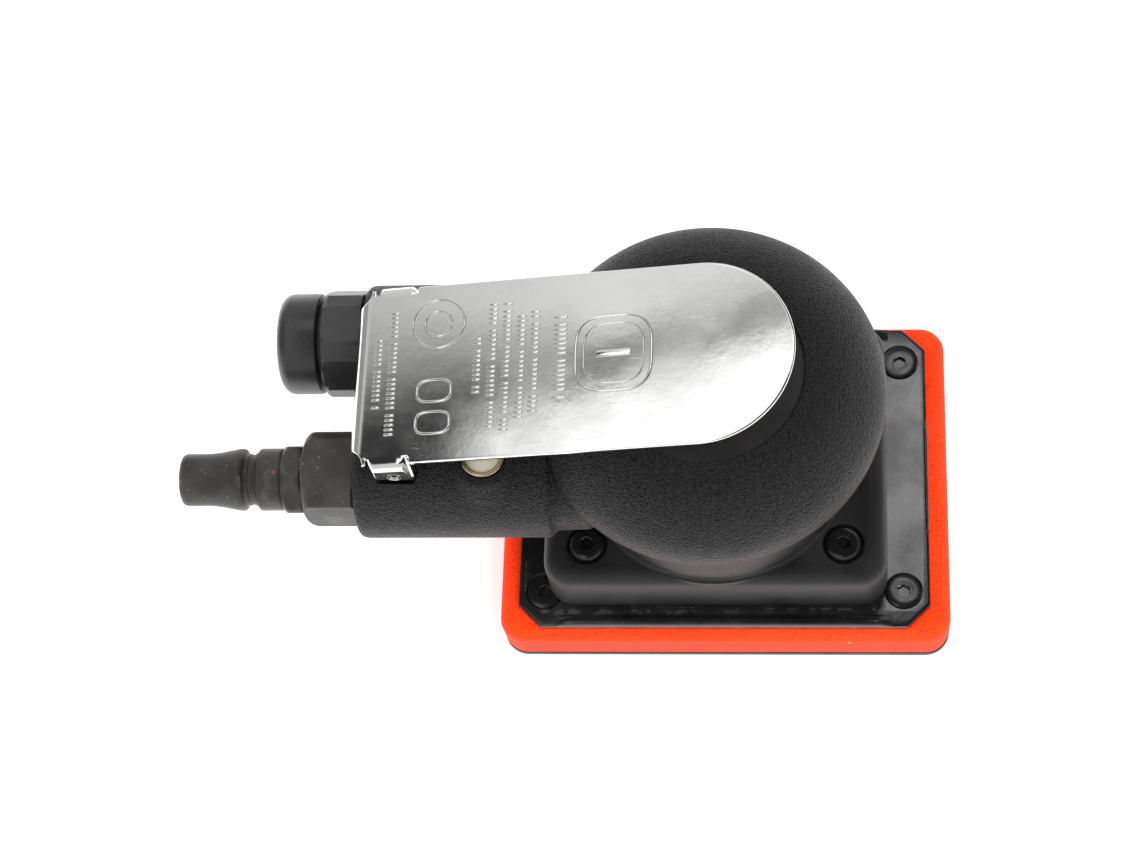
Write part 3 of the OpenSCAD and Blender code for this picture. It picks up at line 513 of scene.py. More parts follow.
def build_turning_lines():
    """Fine grooves left by turning and grinding."""
    tree, inp, out = new_group(
        "turning_lines", [("Vector", "Vector", None), ("Float", "Scale", 900.0)],
        [("Float", "Height")])
    rings = add_node(tree, "TexWave", [("Vector", inp.outputs["Vector"]), ("Scale", inp.outputs["Scale"]),
                                       ("Distortion", 1.5), ("Detail", 3.0)],
                     wave_type="RINGS", rings_direction="Z")
    grit = noise_at(tree, inp, 2600.0)
    height = plus(tree, times(tree, rings.outputs["Fac"], 0.5), grit.outputs["Fac"])
    tree.links.new(height, out.inputs["Height"])
    return tree


GROUPS = {}


def build_groups():
    for build in (build_uneven_tone, build_dust_specks, build_leather_grain, build_moulded_skin,
                  build_hairline_scratches, build_edge_rub, build_foam_cells, build_turning_lines):
        tree = build()
        GROUPS[tree.name] = tree


# ---------------------------------------------------------------- finishes

class Finish:
    """One material: object coordinates, groups, a bump and a Principled shader."""

    def __init__(self, name, **shader):
        self.material = bpy.data.materials.new(name)
        self.material.use_nodes = True
        self.tree = self.material.node_tree
        self.shader = next(n for n in self.tree.nodes if n.type == "BSDF_PRINCIPLED")
        for key, value in shader.items():
            self.shader.inputs[key.replace("_", " ")].default_value = value
        self.where = self.tree.nodes.new("ShaderNodeTexCoord").outputs["Object"]
        self.bumps = None
        FINISHES[name] = self.material

    def use(self, group, **values):
        node = self.tree.nodes.new("ShaderNodeGroup")
        node.node_tree = GROUPS[group]
        self.tree.links.new(self.where, node.inputs["Vector"])
        for key, value in values.items():
            socket = node.inputs[key.replace("_", " ")]
            if isinstance(value, bpy.types.NodeSocket):
                self.tree.links.new(value, socket)
            else:
                socket.default_value = value
        return node.outputs

    def bump(self, height, distance, strength=1.0):
        node = add_node(self.tree, "Bump", [("Height", height), ("Distance", distance),
                                            ("Strength", strength)])
        if self.bumps:
            self.tree.links.new(self.bumps, node.inputs["Normal"])
        self.bumps = node.outputs["Normal"]
        self.tree.links.new(self.bumps, self.shader.inputs["Normal"])

    def paint(self, colour, roughness):
        self.tree.links.new(colour, self.shader.inputs["Base Color"])
        self.tree.links.new(roughness, self.shader.inputs["Roughness"])


FINISHES = {}


def shade(colour, factor):
    return (*[min(c * factor, 1) for c in colour[:3]], 1)


def make_grained_rubber(name, colour, size, depth, rough, specks):
    f = Finish(name, Specular_IOR_Level=0.42)
    tone = f.use("uneven_tone", Colour=shade(colour, 1), Patch_Colour=shade(colour, 1.45),
                 Scale=55.0, Roughness=rough, Roughness_Spread=0.12)
    grain = f.use("leather_grain", Scale=1.0 / size)
    # Painted shade: the hollows of the leather grain are darkened in the base colour.
    grain_hollow_shade = mix_colour(f.tree, ramp(f.tree, grain["Height"], 0.45, 0.95), shade(colour, 0.35), tone["Colour"])
    dust = f.use("dust_specks", Colour=grain_hollow_shade, Speck_Colour=(0.4, 0.36, 0.33, 1),
                 Scale=620.0, Amount=specks, Size=0.15)
    f.paint(dust["Colour"], tone["Roughness"])
    f.bump(grain["Height"], depth)


def make_moulded(name, colour, rough, scale, depth, specks=0.01, level=0.45):
    f = Finish(name, Specular_IOR_Level=level)
    tone = f.use("uneven_tone", Colour=shade(colour, 1), Patch_Colour=shade(colour, 1.5),
                 Scale=70.0, Roughness=rough, Roughness_Spread=0.1)
    dust = f.use("dust_specks", Colour=tone["Colour"], Speck_Colour=(0.3, 0.27, 0.25, 1),
                 Scale=420.0, Amount=specks, Size=0.16)
    f.paint(dust["Colour"], tone["Roughness"])
    skin = f.use("moulded_skin", Scale=scale)
    f.bump(skin["Height"], depth)


def make_metal(name, colour, rough, lines, depth, rub=None, specks=0.0, metallic=1.0, spread=0.14):
    f = Finish(name, Metallic=metallic)
    tone = f.use("uneven_tone", Colour=shade(colour, 1), Patch_Colour=shade(colour, 0.72),
                 Scale=160.0, Roughness=rough, Roughness_Spread=spread)
    paint = tone["Colour"]
    if rub:
        paint = f.use("edge_rub", Colour=paint, Rub_Colour=shade(rub, 1), Amount=0.8)["Colour"]
    if specks:
        paint = f.use("dust_specks", Colour=paint, Speck_Colour=(0.6, 0.58, 0.55, 1), Scale=700.0,
                      Amount=specks, Size=0.2)["Colour"]
    f.paint(paint, tone["Roughness"])
    turned = f.use("turning_lines", Scale=lines)
    f.bump(turned["Height"], depth)


def make_chrome():
    f = Finish("polished_chrome", Metallic=1.0)
    colour = tuple(colours().chrome)
    tone = f.use("uneven_tone", Colour=shade(colour, 1), Patch_Colour=shade(colour, 0.95),
                 Scale=45.0, Roughness=0.07, Roughness_Spread=0.05)
    lines = f.use("hairline_scratches", Scale=85.0, Amount=0.45)
    dust = f.use("dust_specks", Colour=tone["Colour"], Speck_Colour=(0.95, 0.95, 0.95, 1),
                 Scale=520.0, Amount=0.05, Size=0.12)
    rough = plus(f.tree, tone["Roughness"], times(f.tree, lines["Mask"], 0.2))
    rough = plus(f.tree, rough, times(f.tree, dust["Mask"], 0.35))
    f.paint(dust["Colour"], rough)
    wave = f.use("moulded_skin", Scale=110.0)
    f.bump(wave["Height"], 0.000008)
    f.bump(lines["Mask"], 0.000004)


def make_foam():
    f = Finish("orange_foam", Specular_IOR_Level=0.1, Sheen_Weight=0.05)
    colour = tuple(colours().foam)
    tone = f.use("uneven_tone", Colour=shade(colour, 1), Patch_Colour=(1.0, 0.055, 0.009, 1),
                 Scale=35.0, Roughness=0.72, Roughness_Spread=0.15)
    cells = f.use("foam_cells", Scale=1300.0)
    # Painted shade: the foam's open pores are darkened in the base colour.
    pore_painted_shade = mix_colour(f.tree, math_node(f.tree, "SUBTRACT", 1.0, cells["Pores"]), tone["Colour"],
                       (0.75, 0.02, 0.006, 1))
    dust = f.use("dust_specks", Colour=pore_painted_shade, Speck_Colour=(1.0, 0.45, 0.3, 1), Scale=380.0,
                 Amount=0.02, Size=0.14)
    f.paint(dust["Colour"], tone["Roughness"])
    f.bump(cells["Height"], 0.00018, 0.7)


def make_coated_plate():
    f = Finish("coated_plate", Specular_IOR_Level=0.8)
    colour = tuple(colours().plate)
    tone = f.use("uneven_tone", Colour=shade(colour, 1), Patch_Colour=shade(colour, 1.6),
                 Scale=90.0, Roughness=0.2, Roughness_Spread=0.08)
    rub = f.use("edge_rub", Colour=tone["Colour"], Rub_Colour=(0.05, 0.05, 0.05, 1), Amount=0.6)
    dust = f.use("dust_specks", Colour=rub["Colour"], Speck_Colour=(0.35, 0.33, 0.31, 1),
                 Scale=480.0, Amount=0.03, Size=0.13)
    lines = f.use("hairline_scratches", Scale=60.0, Amount=0.5)
    rough = plus(f.tree, tone["Roughness"], times(f.tree, lines["Mask"], 0.18))
    f.paint(dust["Colour"], rough)
    skin = f.use("moulded_skin", Scale=1500.0)
    f.bump(skin["Height"], 0.00002)


def make_blackened_steel():
    f = Finish("blackened_steel", Metallic=0.3, Specular_IOR_Level=0.35)
    colour = shade(tuple(colours().fitting), 0.6)
    tone = f.use("uneven_tone", Colour=shade(colour, 1), Patch_Colour=shade(colour, 1.7),
                 Scale=140.0, Roughness=0.42, Roughness_Spread=0.2)
    rub = f.use("edge_rub", Colour=tone["Colour"], Rub_Colour=(0.3, 0.28, 0.25, 1), Amount=0.75)
    rust = f.use("dust_specks", Colour=rub["Colour"], Speck_Colour=(0.13, 0.045, 0.02, 1),
                 Scale=330.0, Amount=0.15, Size=0.3)
    dust = f.use("dust_specks", Colour=rust["Colour"], Speck_Colour=(0.17, 0.15, 0.12, 1),
                 Scale=1300.0, Amount=0.3, Size=0.22)
    f.paint(dust["Colour"], tone["Roughness"])
    skin = f.use("moulded_skin", Scale=1400.0)
    f.bump(skin["Height"], 0.00007)


def make_fibre(name, colour, other, scale, depth):
    f = Finish(name, Specular_IOR_Level=0.2, Sheen_Weight=0.2)
    tone = f.use("uneven_tone", Colour=(*colour, 1), Patch_Colour=(*other, 1), Scale=260.0,
                 Roughness=0.88, Roughness_Spread=0.1)
    f.paint(tone["Colour"], tone["Roughness"])
    lines = f.use("hairline_scratches", Scale=scale, Amount=1.0)
    f.bump(lines["Mask"], depth)
    cells = f.use("foam_cells", Scale=900.0)
    f.bump(cells["Height"], depth)


def build_finishes():
    c = colours()
    make_grained_rubber("grained_rubber", tuple(c.rubber), sizes().grain_size, sizes().grain_depth,
                        0.46, 0.02)
    make_moulded("smooth_rubber", shade(tuple(c.rubber), 0.85), 0.5, 2200.0, 0.00003, 0.02, 0.35)
    make_moulded("seal_rubber", (0.012, 0.012, 0.012), 0.6, 2400.0, 0.00003)
    make_moulded("post_rubber", (0.02, 0.02, 0.02), 0.65, 2000.0, 0.00005)
    make_moulded("moulded_shroud", tuple(c.shroud), 0.5, 1900.0, 0.00009, 0.03, 0.42)
    make_moulded("moulded_muffler", (0.013, 0.013, 0.0133), 0.32, 2600.0, 0.00004, 0.02, 0.6)
    make_moulded("housing_plastic", (0.02, 0.02, 0.021), 0.5, 2200.0, 0.00005)
    make_moulded("white_button", (0.3, 0.28, 0.22), 0.32, 1500.0, 0.00001, 0.01)
    make_moulded("vane_laminate", (0.16, 0.075, 0.03), 0.55, 1400.0, 0.00004)
    make_chrome()
    make_foam()
    make_coated_plate()
    make_blackened_steel()
    make_metal("button_brass", (0.86, 0.74, 0.5), 0.22, 1500.0, 0.00001, specks=0.01)
    make_metal("insert_brass", (0.78, 0.55, 0.22), 0.3, 1200.0, 0.00002)
    make_metal("ground_steel", (0.56, 0.56, 0.55), 0.26, 1100.0, 0.00002, specks=0.01)
    make_metal("cast_alloy", (0.62, 0.63, 0.64), 0.42, 500.0, 0.00004)
    make_metal("black_screws", (0.07, 0.07, 0.071), 0.2, 1300.0, 0.00001, rub=(0.2, 0.2, 0.2),
               specks=0.01, metallic=0.9, spread=0.06)
    make_fibre("hook_facing", (0.022, 0.022, 0.022), (0.045, 0.043, 0.04), 300.0, 0.0002)
    make_fibre("core_board", (0.36, 0.24, 0.13), (0.28, 0.18, 0.09), 120.0, 0.00006)
    make_fibre("silencer_felt", (0.62, 0.56, 0.44), (0.5, 0.44, 0.33), 260.0, 0.00015)


SLOT_FINISH = {
    "facing": "hook_facing", "foam": "orange_foam", "board": "core_board", "brass": "insert_brass",
    "plate": "coated_plate", "screws": "black_screws", "steel": "ground_steel",
    "alloy": "cast_alloy", "post": "post_rubber", "shroud": "moulded_shroud",
    "housing": "housing_plastic", "grip": "grained_rubber", "lever": "polished_chrome",
    "button": "white_button", "seal": "seal_rubber", "fitting": "blackened_steel",
    "muffler": "moulded_muffler", "felt": "silencer_felt", "vane": "vane_laminate",
}


# ---------------------------------------------------------------- sanding pad

CORNER = 5.5
FOAM_EDGE = 3.0
RUN_STEPS = 32
PLATE_TOP = 15.0
PLATE_CUT = 5.0
LIP_REACH = 37.2
SCREW_INSET = 4.0


def corner_spots(node, inset):
    """The four middles of a part that has one screw at each corner."""
    low, high = node_box(node)
    return [(x, y) for x in (low.x + inset, high.x - inset) for y in (low.y + inset, high.y - inset)]


def build_foam():
    """The soft foam body, with pulled-in foot and rounded top edge."""
    low, high = node_box("foam_pad")
    length, width = high.x - low.x, high.y - low.y
    middle = ((low.x + high.x) / 2, (low.y + high.y) / 2)

    def ring(inset, corner, z):
        return rounded_loop(length - 2 * inset, width - 2 * inset, corner, z, middle, per_corner=14)

    walls = ((0.5, low.z), (0.12, low.z + 0.35), (0.0, low.z + 1.6), (0.0, low.z + 3.4),
             (0.0, low.z + 5.4), (0.0, high.z - FOAM_EDGE - 0.6))
    loops = [ring(inset, CORNER - inset, z) for inset, z in walls]
    loops += [ring(inset, CORNER - inset * 0.8, high.z - FOAM_EDGE + rise)
              for inset, rise in arc(FOAM_EDGE, 0, FOAM_EDGE, FOAM_EDGE, 180, 90, 9)]
    loops += [ring(4.5, 3, high.z), ring(6, 3, high.z - 0.3)]
    for loop in loops[1:-3]:
        for point in loop:
            ripple = noise.noise(point * 0.16) * 0.13 + noise.noise(point * 0.9) * 0.035
            toward = Vector((point.x - middle[0], point.y - middle[1], 0)).normalized()
            point -= toward * abs(ripple)
    bm = bmesh.new()
    loft(bm, [subdivide_loop(loop) for loop in loops])
    foam = place_object("foam_body", bm, [FINISHES["orange_foam"]], 60)
    fit(foam, "pad", ["foam_pad"])


def subdivide_loop(loop):
    """Splits the four straight runs of a rounded loop into equal short steps."""
    out, count = [], len(loop) // 4
    for k in range(4):
        out.extend(loop[k * count:(k + 1) * count])
        a, b = loop[(k + 1) * count - 1], loop[((k + 1) * count) % len(loop)]
        for i in range(1, RUN_STEPS):
            out.append(a.lerp(b, i / RUN_STEPS))
    return out


def build_plate():
    """The pressed backing plate with its two rolled lips and the bead at the front."""
    foam_high = node_box("foam_pad")[1]
    low, high = node_box("backing_plate")
    length, width = high.x - low.x, high.y - low.y
    middle = ((low.x + high.x) / 2, (low.y + high.y) / 2)
    bm = bmesh.new()
    loops = []
    for inset, z in ((0.25, foam_high.z + 0.02), (0, foam_high.z + 0.3), (0, PLATE_TOP - 0.5),
                     (0.1, PLATE_TOP - 0.2), (0.32, PLATE_TOP - 0.04), (0.6, PLATE_TOP)):
        loops.append(rounded_loop(length - 2 * inset, width - 2 * inset, PLATE_CUT, z, middle,
                                  cut=True))
    loft(bm, loops)
    plate = place_object("pressed_plate", bm, [FINISHES["coated_plate"]])
    tool = bmesh.new()
    for x, y in corner_spots("plate_screws", SCREW_INSET):
        lathe(tool, [(0, PLATE_TOP - 0.9), (4.12, PLATE_TOP - 0.9), (4.12, PLATE_TOP - 0.12),
                     (4.3, PLATE_TOP + 0.06), (4.3, PLATE_TOP + 1), (0, PLATE_TOP + 1)],
              upright(x, y), 64)
    carve(plate, tool)
    fit(plate, "pad", ["backing_plate"])
    bm = bmesh.new()
    lip = ((-1.12, -0.5), (-1.12, 0.35), (-0.92, 0.78), (-0.5, 0.97), (0, 1.0), (0.45, 0.84),
           (0.85, 0.5), (1.25, 0.14), (1.7, -0.03), (1.7, -0.5))
    for side in (-1, 1):
        y = middle[1] + side * (width / 2 - 1.15)
        loops = []
        for k in range(65):
            x = -LIP_REACH + 2 * LIP_REACH * k / 64
            taper = min(1, max(0.0, (LIP_REACH - abs(x)) / 3.4))
            rise = 1.08 * math.sin(taper * math.pi / 2)
            dip = 0.16 * math.sin(x * 0.21) + 0.1 * math.sin(x * 0.57 + side)
            loops.append([Vector((middle[0] + x, y - side * dy,
                                  PLATE_TOP + max(dz, 0) * rise * (1 + dip * 0.12) + min(dz, 0)))
                          for dy, dz in lip])
        loft(bm, loops)
    end_x = middle[0] + length / 2 - 0.35
    loops = []
    for k in range(21):
        t = k / 20
        size = 0.42 * math.sin(math.pi * min(1, max(0.03, min(t, 1 - t) * 9)) / 2)
        loops.append([Vector((end_x + size * math.cos(TURN * i / 12), middle[1] - 14.5 + 29 * t,
                              PLATE_TOP - 0.15 + size * math.sin(TURN * i / 12))) for i in range(12)])
    loft(bm, loops)
    lips = place_object("rolled_lips", bm, [FINISHES["coated_plate"]], 50)
    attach(lips, "pad")


def build_screws():
    """The socket screws of the plate and the shroud."""
    depth = sizes().slit_depth / MM
    bm = bmesh.new()
    top = PLATE_TOP + 0.03
    for x, y in corner_spots("plate_screws", SCREW_INSET):
        socket_head(bm, x, y, [(2.0, top - 1.9), (3.95, top - 0.6), (3.95, top - 0.3),
                               (3.82, top - 0.08), (3.6, top), (2.4, top)], 2.5, depth)
    flat_heads = place_object("plate_screw_heads", bm, [FINISHES["black_screws"]])
    fit(flat_heads, "pad", ["plate_screws"])
    bm = bmesh.new()
    low, high = node_box("shroud_screws")
    seat = high.z - 2.0
    outline = [(2.0, low.z), (2.0, seat), (3.7, seat), (3.98, seat + 0.12), (4.0, seat + 0.45)]
    outline += arc(2.55, seat + 0.5, 1.45, 1.5, 10, 90, 8)
    outline.append((2.0, seat + 2.0))
    for x, y in corner_spots("shroud_screws", SCREW_INSET):
        socket_head(bm, x, y, outline, 2.6, depth)
    round_heads = place_object("shroud_screw_heads", bm, [FINISHES["black_screws"]])
    fit(round_heads, "housing", ["shroud_screws"])


# ---------------------------------------------------------------- shroud and grip

SHROUD_LENGTH = 74.6
SHROUD_WIDTH = 61.4
SHROUD_TOP = 31.5
SHROUD_WALL = 2.0
SHROUD_CORNER = 6.0
SHROUD_EDGE = 2.8
NECK = 29.7
NECK_INNER = 26.2
NECK_TOP = 52.0
NECK_COVE = 0.9


def build_shroud():
    """The base shroud, its corner seats and its neck."""
    foot = node_box("base_shroud")[0].z
    top, wall, corner, edge = SHROUD_TOP, SHROUD_WALL, SHROUD_CORNER, SHROUD_EDGE

    def ring(inset, radius, z):
        return rounded_loop(SHROUD_LENGTH - 2 * inset, SHROUD_WIDTH - 2 * inset, radius, z)

    loops = [ring(wall, 4, top - 3), ring(wall, 4, foot + 0.4), ring(wall - 0.25, 4.2, foot + 0.05),
             ring(0.25, corner - 0.25, foot + 0.05), ring(0, corner, foot + 0.4),
             ring(0.1, corner, top - edge - 2)]
    loops += [ring(0.1 + shrink, corner - shrink * 0.7, top - edge + rise)
              for shrink, rise in arc(edge, 0, edge, edge, 180, 90, 9)]
    bm = bmesh.new()
    loft(bm, loops)
    shell = place_object("shroud_shell", bm, [FINISHES["moulded_shroud"]], 45)
    tool = bmesh.new()
    for x, y in corner_spots("shroud_screws", SCREW_INSET):
        lathe(tool, [(0, top - 1.5), (4.35, top - 1.5), (4.4, top - 0.5), (4.62, top - 0.18),
                     (5.0, top + 0.02), (5.0, top + 1), (0, top + 1)], upright(x, y), 64)
    carve(shell, tool, 45)
    fit(shell, "housing", ["base_shroud"])
    bm = bmesh.new()
    cove = NECK_COVE
    profile = [(NECK_INNER, top - 2.5), (NECK + cove, top - 2.5), (NECK + cove, top)]
    profile += arc(NECK + cove, top + cove, cove, cove, 270, 180, 6)
    profile += [(NECK, NECK_TOP - 0.2), (NECK - 0.2, NECK_TOP), (NECK_INNER, NECK_TOP)]
    lathe(bm, profile, upright(), 160, closed=True)
    soft_box(bm, (-36.2, -16.4, top - 2), (-20.5, 16.4, 43.9), 2.2, 1.4)
    neck = place_object("shroud_neck", bm, [FINISHES["moulded_shroud"]], 40)
    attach(neck, "housing")


EQUATOR = 64.7
GRIP_TOP = 77.5
GRIP_RADIUS = 36.8
BULGE = 15.4


def build_grip_dome():
    """The grip with its smooth top disc."""
    disc = sizes().disc_radius / MM
    foot = NECK + 0.3
    start = math.degrees(math.acos((foot - GRIP_RADIUS + BULGE) / BULGE))
    profile = [(foot - 0.2, 51.75)]
    profile += arc(GRIP_RADIUS - BULGE, EQUATOR, BULGE, BULGE, -start, 0, 16)
    profile += arc(disc, EQUATOR, GRIP_RADIUS - disc, GRIP_TOP - EQUATOR, 5, 88, 28)
    rim = len(profile) - 1
    profile += [(disc + 0.12, GRIP_TOP - 0.03), (disc, GRIP_TOP - 0.25), (disc - 0.1, GRIP_TOP - 0.62),
                (disc - 0.3, GRIP_TOP - 0.6), (disc - 0.5, GRIP_TOP - 0.42)]
    profile += [(r, GRIP_TOP - 0.4) for r in (18, 14, 9, 4, 0)]
    slots = [0] * (rim + 2) + [1] * 8
    inner = [(0, 74.15), (17.6, 74.15)] + arc(17.6, 61.7, 14.05, 12.45, 78, 0, 8)
    inner += [(31.65, 58), (28.65, 54.5), (28.65, 52.2)]
    bm = bmesh.new()
    lathe(bm, profile, upright(), 224, slots)
    lathe(bm, inner, upright(), 96)
    dome = place_object("grip_dome", bm, [FINISHES["grained_rubber"], FINISHES["smooth_rubber"]], 40)
    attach(dome, "housing")


ARM_Y = 15.6
ARM_Z = 56.6
ARM_END = -73.1
SLEEVE = 12.42
SKIN_GRID = 0.42
BUTTON_X = -45.6
PIN_X = -63.5
PIN_Z = 70.4


def disc_across(x, y, z, radius, steps):
    """A round loop that stands across Y."""
    return [Vector((x + radius * math.cos(TURN * k / steps), y, z + radius * math.sin(TURN * k / steps)))
            for k in range(steps)]


def build_grip_arms():
    """The two rubber sleeves, merged into one skin with the web between them."""
    bm = bmesh.new()
    for y in (-ARM_Y, ARM_Y):
        profile = smooth_profile(
            [(0, ARM_END), (SLEEVE, ARM_END), (SLEEVE, -32.2), (11.0, -32.0), (10.7, -24), (0, -24)],
            {1: 1.7, 2: 2.0, 3: 1.2})
        lathe(bm, profile, lying(y, ARM_Z), 120)
    soft_box(bm, (ARM_END + 0.15, -ARM_Y, 49.0), (-24, ARM_Y, 64.2), 0.6, 0.5)
    boss = smooth_profile([(0, 60), (9.6, 60), (9.3, 66.2), (6.9, 69.0), (6.4, 69.55), (0, 69.55)],
                          {2: 1.4, 3: 1.8, 4: 0.6})
    lathe(bm, boss, upright(BUTTON_X, -ARM_Y), 96)
    arms = place_object("grip_arms", bm, [FINISHES["grained_rubber"]], 0)
    merge = arms.modifiers.new("merge", "REMESH")
    merge.mode = "VOXEL"
    merge.voxel_size = SKIN_GRID * MM
    soften = arms.modifiers.new("soften", "SMOOTH")
    soften.factor = 0.6
    soften.iterations = 9
    settle(arms)
    tool = bmesh.new()
    bore = [(0, 40), (7.05, 40), (7.05, ARM_Z), (4.74, ARM_Z), (4.74, 69.35), (5.2, 69.65), (5.2, 75),
            (0, 75)]
    lathe(tool, bore, upright(BUTTON_X, -ARM_Y), 64)
    for side in (-1, 1):
        loft(tool, [disc_across(PIN_X, side * y, PIN_Z, 4.75, 48) for y in (18.6, 20.95)])
    lathe(tool, [(0, 40), (NECK + 0.25, 40), (NECK + 0.25, NECK_TOP), (0, NECK_TOP)], upright(), 128)
    bmesh.ops.recalc_face_normals(tool, faces=tool.faces)
    carve(arms, tool, 50)
    fit(arms, "housing", ["rubber_grip"])


# ---------------------------------------------------------------- throttle

LEVER_TOP = 5.35
SHEET = 1.5
TAIL_BEND = 3.0
EAR_BEND = 2.2
HALF = 19.6
TAIL_U = -8.7
EAR_OUT = 20.5
FLAP_V = EAR_OUT - EAR_BEND
EAR = 4.3
REACH = 83.9
CORNER_RELIEF = 3.4
PIN_HOLE = 1.68


def lever_point(u, v, w):
    """A point in the lever's frame at its pin, in millimetres."""
    slope = sizes().lever_slope
    c, s = math.cos(slope), math.sin(slope)
    return Vector((PIN_X + u * c - w * s, v, PIN_Z + u * s + w * c))


def folded(along, radius, depth):
    """How far out and how far down a strip lies once it is bent over a quarter of a circle."""
    a = min(along / radius, math.pi / 2)
    out = (radius - depth) * math.sin(a)
    down = radius - (radius - depth) * math.cos(a) + max(along - radius * math.pi / 2, 0)
    return out, down


def bent(s, t, depth=0.0):
    """Where a point of the flat blank, some depth under its top face, ends up once it is bent."""
    u, v, w = s, t, LEVER_TOP - depth
    tail_line = TAIL_U + TAIL_BEND
    if s < tail_line:
        out, down = folded(tail_line - s, TAIL_BEND, depth)
        u, w = tail_line - out, LEVER_TOP - down
    if abs(t) > FLAP_V and abs(s) < EAR + 0.35:
        out, down = folded(abs(t) - FLAP_V, EAR_BEND, depth)
        v, w = math.copysign(FLAP_V + out, t), LEVER_TOP - down
    return lever_point(u, v, w)


def blank_outline():
    """The lever's flat blank, round its edge, as (s, t) points."""
    quarter = TAIL_BEND * math.pi / 2
    ear_middle = FLAP_V + EAR_BEND * math.pi / 2 + LEVER_TOP - EAR_BEND
    relief = CORNER_RELIEF
    flap_end = TAIL_U + TAIL_BEND - quarter - 0.6
    half = [(flap_end + 0.25, 0), (flap_end, 1.0), (flap_end, HALF - relief - 0.5),
            (flap_end + 0.2, HALF - relief)]
    for k in range(9):
        a = math.radians(90 * k / 8)
        u = TAIL_U + relief * math.sin(a)
        v = HALF - relief * math.cos(a)
        share = (TAIL_U + TAIL_BEND - u) / TAIL_BEND
        s = u if share <= 0 else TAIL_U + TAIL_BEND * (1 - math.asin(min(share, 1)))
        half.append((s, v))
    half += [(-4.7, HALF - 0.2), (-4.7, FLAP_V + 0.15), (-4.62, FLAP_V), (-4.4, FLAP_V),
             (-EAR, FLAP_V + 0.15)]
    half += arc(0, ear_middle, EAR, EAR, 180, 0, 18)
    half += [(EAR, FLAP_V + 0.15), (4.4, FLAP_V), (4.62, FLAP_V), (4.7, FLAP_V + 0.15), (4.7, HALF - 0.25),
             (5.0, HALF)]
    half += [(5.4 + (REACH - HALF - 5.4) * k / 24, HALF) for k in range(1, 24)]
    half += arc(REACH - HALF, 0, HALF, HALF, 90, 1.5, 48)
    return half + [(s, -t) for s, t in reversed(half) if abs(t) > 1e-6]


def inset_outline(outline, inset):
    """The blank's outline moved inwards."""
    moved = []
    for i, p in enumerate(outline):
        before, after = outline[i - 1], outline[(i + 1) % len(outline)]
        way = ((p - before).normalized() + (after - p).normalized()).normalized()
        moved.append(p + Vector((way.y, -way.x)) * inset)
    return moved


def within(outline, p):
    """Whether a point lies inside an outline."""
    hit = False
    for i, a in enumerate(outline):
        b = outline[i - 1]
        if (a.y > p.y) != (b.y > p.y) and p.x < (b.x - a.x) * (p.y - a.y) / (b.y - a.y) + a.x:
            hit = not hit
    return hit


def sheet_face(bm, outline, rim, depth):
    """Fills one face of the bent sheet with small triangles."""
    points = list(outline)
    for i in range(-22, 170):
        for k in range(-58, 59):
            if (i > -6 and i % 2) or (abs(k) < 33 and k % 2):
                continue
            p = Vector((i / 2 + 0.13, k / 2 + 0.07))
            if within(outline, p) and min((p - q).length_squared for q in outline) > 0.1:
                points.append(p)
    count = len(outline)
    edges = [(i, (i + 1) % count) for i in range(count)]
    made = geometry.delaunay_2d_cdt(points, edges, [list(range(count))], 2, 1e-5)
    verts = []
    for point, sources in zip(made[0], made[3]):
        on_rim = [i for i in sources if i < count]
        verts.append(rim[on_rim[0]] if on_rim else bm.verts.new(bent(point.x, point.y, depth)))
    for face in made[2]:
        bm.faces.new([verts[i] for i in face])


def build_lever():
    """The throttle lever, bent from one sheet, with its two ears and tail flap."""
    outline = [Vector(p) for p in blank_outline()]
    if sum(a.x * b.y - a.y * b.x for a, b in zip(outline, outline[1:] + outline[:1])) > 0:
        outline.reverse()
    bm = bmesh.new()
    edge = [(0.5, 0.0), (0.36, 0.0), (0.24, 0.03), (0.11, 0.1), (0.03, 0.22), (0.0, 0.4), (0.0, 1.05),
            (0.06, 1.3), (0.22, SHEET), (0.4, SHEET)]
    insets = [inset_outline(outline, inset) for inset, _ in edge]
    rows = [[bm.verts.new(bent(p.x, p.y, depth)) for p in loop] for loop, (_, depth) in zip(insets, edge)]
    stitch(bm, rows)
    sheet_face(bm, insets[0], rows[0], 0.0)
    sheet_face(bm, insets[-1], rows[-1], SHEET)
    lever = place_object("chromed_lever", bm, [FINISHES["polished_chrome"]], 0)
    tool = bmesh.new()
    loft(tool, [disc_across(PIN_X, y, PIN_Z, PIN_HOLE, 40) for y in (-30, 30)])
    carve(lever, tool, 50)
    fit(lever, "lever", ["throttle_lever"])
    bm = bmesh.new()
    profile = [(0.75, -20.2), (0.95, -20.46), (1.3, -20.46), (1.58, -20.15), (1.58, 20.15), (1.3, 20.46),
               (0.95, 20.46), (0.75, 20.2)]
    lathe(bm, profile, lambda r, h, a: Vector((PIN_X + r * math.cos(a), h, PIN_Z + r * math.sin(a))), 48,
          closed=True)
    pin = place_object("hollow_pin", bm, [FINISHES["ground_steel"]], 30)
    fit(pin, "housing", ["lever_pin"])


def stamp_bar(bm, u, v, across, along, rise):
    """A low blank bar with sloped sides, pressed out of the lever."""
    rows = []
    for shrink, w in ((0, -0.12), (0.02, 0.3), (0.16, 0.85), (0.32, 1.0)):
        loop = rounded_loop(across - 2 * shrink, along - 2 * shrink, max(0.3 - shrink * 0.6, 0.05), 0,
                            (u, v), per_corner=4)
        rows.append([lever_point(p.x, p.y, LEVER_TOP + (w * rise if w > 0 else w)) for p in loop])
    loft(bm, rows)


